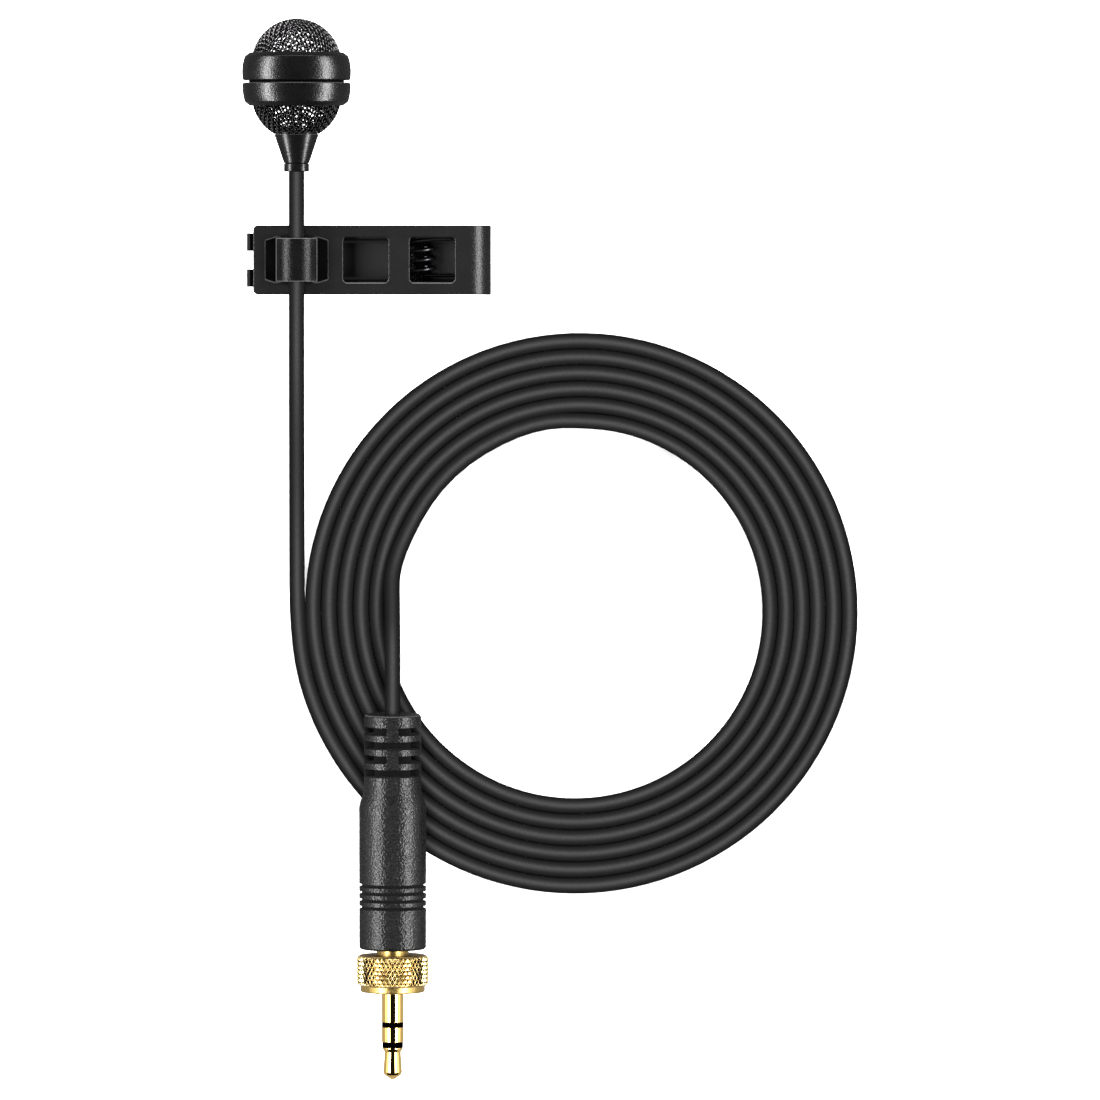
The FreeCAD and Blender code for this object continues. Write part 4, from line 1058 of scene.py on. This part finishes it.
def only_on(lamp, pieces):
    """Makes a light shine on the given pieces alone."""
    lit = bpy.data.collections.new(f"{lamp.name}_lights")
    for piece in pieces:
        lit.objects.link(piece)
    lamp.light_linking.receiver_collection = lit


def area_light(name, zenith, azimuth, width, length, radiance, pieces):
    """A soft panel 1 m from the object, facing it. Zenith is its angle from straight up and
    azimuth the way it leans, in degrees; width is across its lean and length along it."""
    light = bpy.data.lights.new(name, "AREA")
    light.shape = "RECTANGLE"
    light.size, light.size_y = width, length
    light.energy = radiance * math.pi * width * length
    lamp = bpy.data.objects.new(name, light)
    turn = Matrix.Rotation(math.radians(azimuth), 4, "Z")
    lean = Matrix.Rotation(math.radians(zenith), 4, "Y")
    lamp.matrix_world = (Matrix.Translation(VIEW_CENTRE) @ turn @ lean
                         @ Matrix.Translation((0, 0, LIGHT_DISTANCE)))
    lamp.visible_camera = False
    bpy.context.scene.collection.objects.link(lamp)
    only_on(lamp, pieces)
    return lamp


def light_both_sides(name, zenith, width, length, radiance, pieces):
    """The same panel right and left of the camera's axis."""
    area_light(f"{name}_right", zenith, 0, width, length, radiance, pieces)
    area_light(f"{name}_left", zenith, 180, width, length, radiance, pieces)


def table_glow(name, radiance, pieces):
    """The light that the table throws back up, as a sheet lying on it."""
    lamp = area_light(name, 0, 0, 0.5, 0.5, radiance, pieces)
    flipped = Matrix.Rotation(math.pi, 4, "X")
    lamp.matrix_world = Matrix.Translation(VIEW_CENTRE - Vector((0, 0, GLOW_DROP))) @ flipped


def table_sun(azimuth, level, table, cable):
    """A low, wide sun that lights the table alone; only the cable's strands shade it."""
    light = bpy.data.lights.new(f"table_{azimuth}", "SUN")
    light.angle = math.radians(12)
    light.energy = level * math.pi / (TABLE_SHADE * math.cos(math.radians(SUN_ZENITH)))
    lamp = bpy.data.objects.new(light.name, light)
    lamp.matrix_world = Matrix.Rotation(math.radians(azimuth), 4, "Z") @ Matrix.Rotation(
        math.radians(SUN_ZENITH), 4, "Y")
    bpy.context.scene.collection.objects.link(lamp)
    only_on(lamp, [table])
    shading = bpy.data.collections.new(f"{light.name}_shading")
    for piece in cable:
        shading.objects.link(piece)
    lamp.light_linking.blocker_collection = shading


def build_lights(table):
    """Each kind of surface has its own panels, so that each shows its own highlights."""
    groups = {
        "cable": ["cable_black"], "boot": ["boot_rubber"], "clip": ["clip_black", "spring_steel"],
        "gold": ["gold_plate"], "grille": ["grille_mesh"],
        "head": ["ring_black", "neck_black", "core_black"]}
    special = sum(groups.values(), ["insulator_black"])
    groups["inside"] = [slot for slot in MATERIALS if slot not in special]
    lit = {
        name: [piece for slot in slots for piece in pieces_by_slot[slot]]
        for name, slots in groups.items()}
    jaw, pin = frame["nodes"]["clip_rear_jaw"], frame["nodes"]["pivot_pin"]
    lit["clip"].remove(jaw)
    lit["clip"].remove(pin)
    light_both_sides("head_strip", 67, 0.20, 1.4, 27.0, lit["head"])
    front_dome, rear_dome = lit["grille"]
    light_both_sides("front_dome_strip", 67, 0.20, 1.4, 13.0, [front_dome])
    light_both_sides("rear_dome_strip", 67, 0.16, 1.4, 9.0, [rear_dome])
    for azimuth, radiance, dome in ((40, 26.0, front_dome), (140, 26.0, front_dome),
                                    (230, 4.0, rear_dome), (310, 4.0, rear_dome)):
        area_light(f"dome_low_{azimuth}", 84, azimuth, 0.30, 0.8, radiance, [dome])
    light_both_sides("clip_strip", 62, 0.38, 1.4, 10.5, lit["clip"])
    area_light("clip_top", 0, 0, 0.9, 0.9, 0.30, lit["clip"])
    light_both_sides("boot_panel", 56, 0.28, 1.5, 12.0, lit["boot"])
    light_both_sides("boot_side", 88, 0.6, 1.5, 0.7, lit["boot"])
    area_light("boot_top", 0, 0, 0.7, 0.7, 0.45, lit["boot"])
    light_both_sides("gold_inner", 41, 0.42, 1.5, 12.0, lit["gold"])
    light_both_sides("gold_outer", 72, 0.60, 1.5, 1.7, lit["gold"])
    spring = pieces_by_slot["spring_steel"]
    for name, radiance in (("head", 4.0), ("clip", 6.0), ("boot", 1.2)):
        edged = [piece for piece in lit[name] if piece not in spring]
        area_light(f"{name}_edge", 74, 90, 0.25, 1.2, radiance, edged)
        table_glow(f"{name}_glow", 0.12, lit[name])
    table_glow("gold_glow", 0.55, lit["gold"])
    area_light("jaw_fill", 32, 180, 0.6, 0.6, 5.5, [jaw])
    area_light("jaw_front", 50, 90, 0.4, 0.8, 1.5, [jaw, pin])
    area_light("jaw_back", 50, 270, 0.4, 0.8, 1.5, [jaw, pin])
    area_light("cable_top", 0, 0, 0.7, 0.7, 9.5, lit["cable"])
    area_light("inside_top", 0, 0, 0.7, 0.7, 0.6, lit["inside"])
    for azimuth, level in SUN_LEVELS.items():
        table_sun(azimuth, level, table, lit["cable"])


def build_studio():
    """The table, the lights and an almost dark world."""
    floor = plain_material("pale_floor", (TABLE_SHADE,) * 3)
    centre = VIEW_CENTRE - Vector((0, 0, TABLE_DROP))
    table = flat_sheet("floor", centre, TABLE_SIDE, floor)
    table.visible_diffuse = False
    table.visible_glossy = False
    build_lights(table)
    world = bpy.data.worlds.new("studio")
    world.use_nodes = True
    world.node_tree.nodes["Background"].inputs["Color"].default_value = (1, 1, 1, 1)
    world.node_tree.nodes["Background"].inputs["Strength"].default_value = WORLD_LIGHT
    bpy.context.scene.world = world
    bpy.context.scene.view_settings.view_transform = "Standard"


def build_camera():
    """Looks straight down from far off, as the photograph does."""
    data = bpy.data.cameras.new("camera")
    data.lens = VIEW_LENS
    data.sensor_width = SENSOR
    camera = bpy.data.objects.new("camera", data)
    height = VIEW_WIDTH * VIEW_LENS / SENSOR
    camera.location = VIEW_CENTRE + Vector((0, 0, height + VIEW_LEVEL))
    bpy.context.scene.collection.objects.link(camera)
    bpy.context.scene.camera = camera
    data.clip_end = CLIP_END


PLUG_NODES = ["nut_keeper", "tip_terminal", "ring_terminal", "plug_crimp", "tip_wire", "ring_wire"]

build_camera()
build_head()
build_clip()
build_cable([build_boot()] + build_nut() + build_contacts() + PLUG_NODES)
dress_cad_nodes()
build_studio()
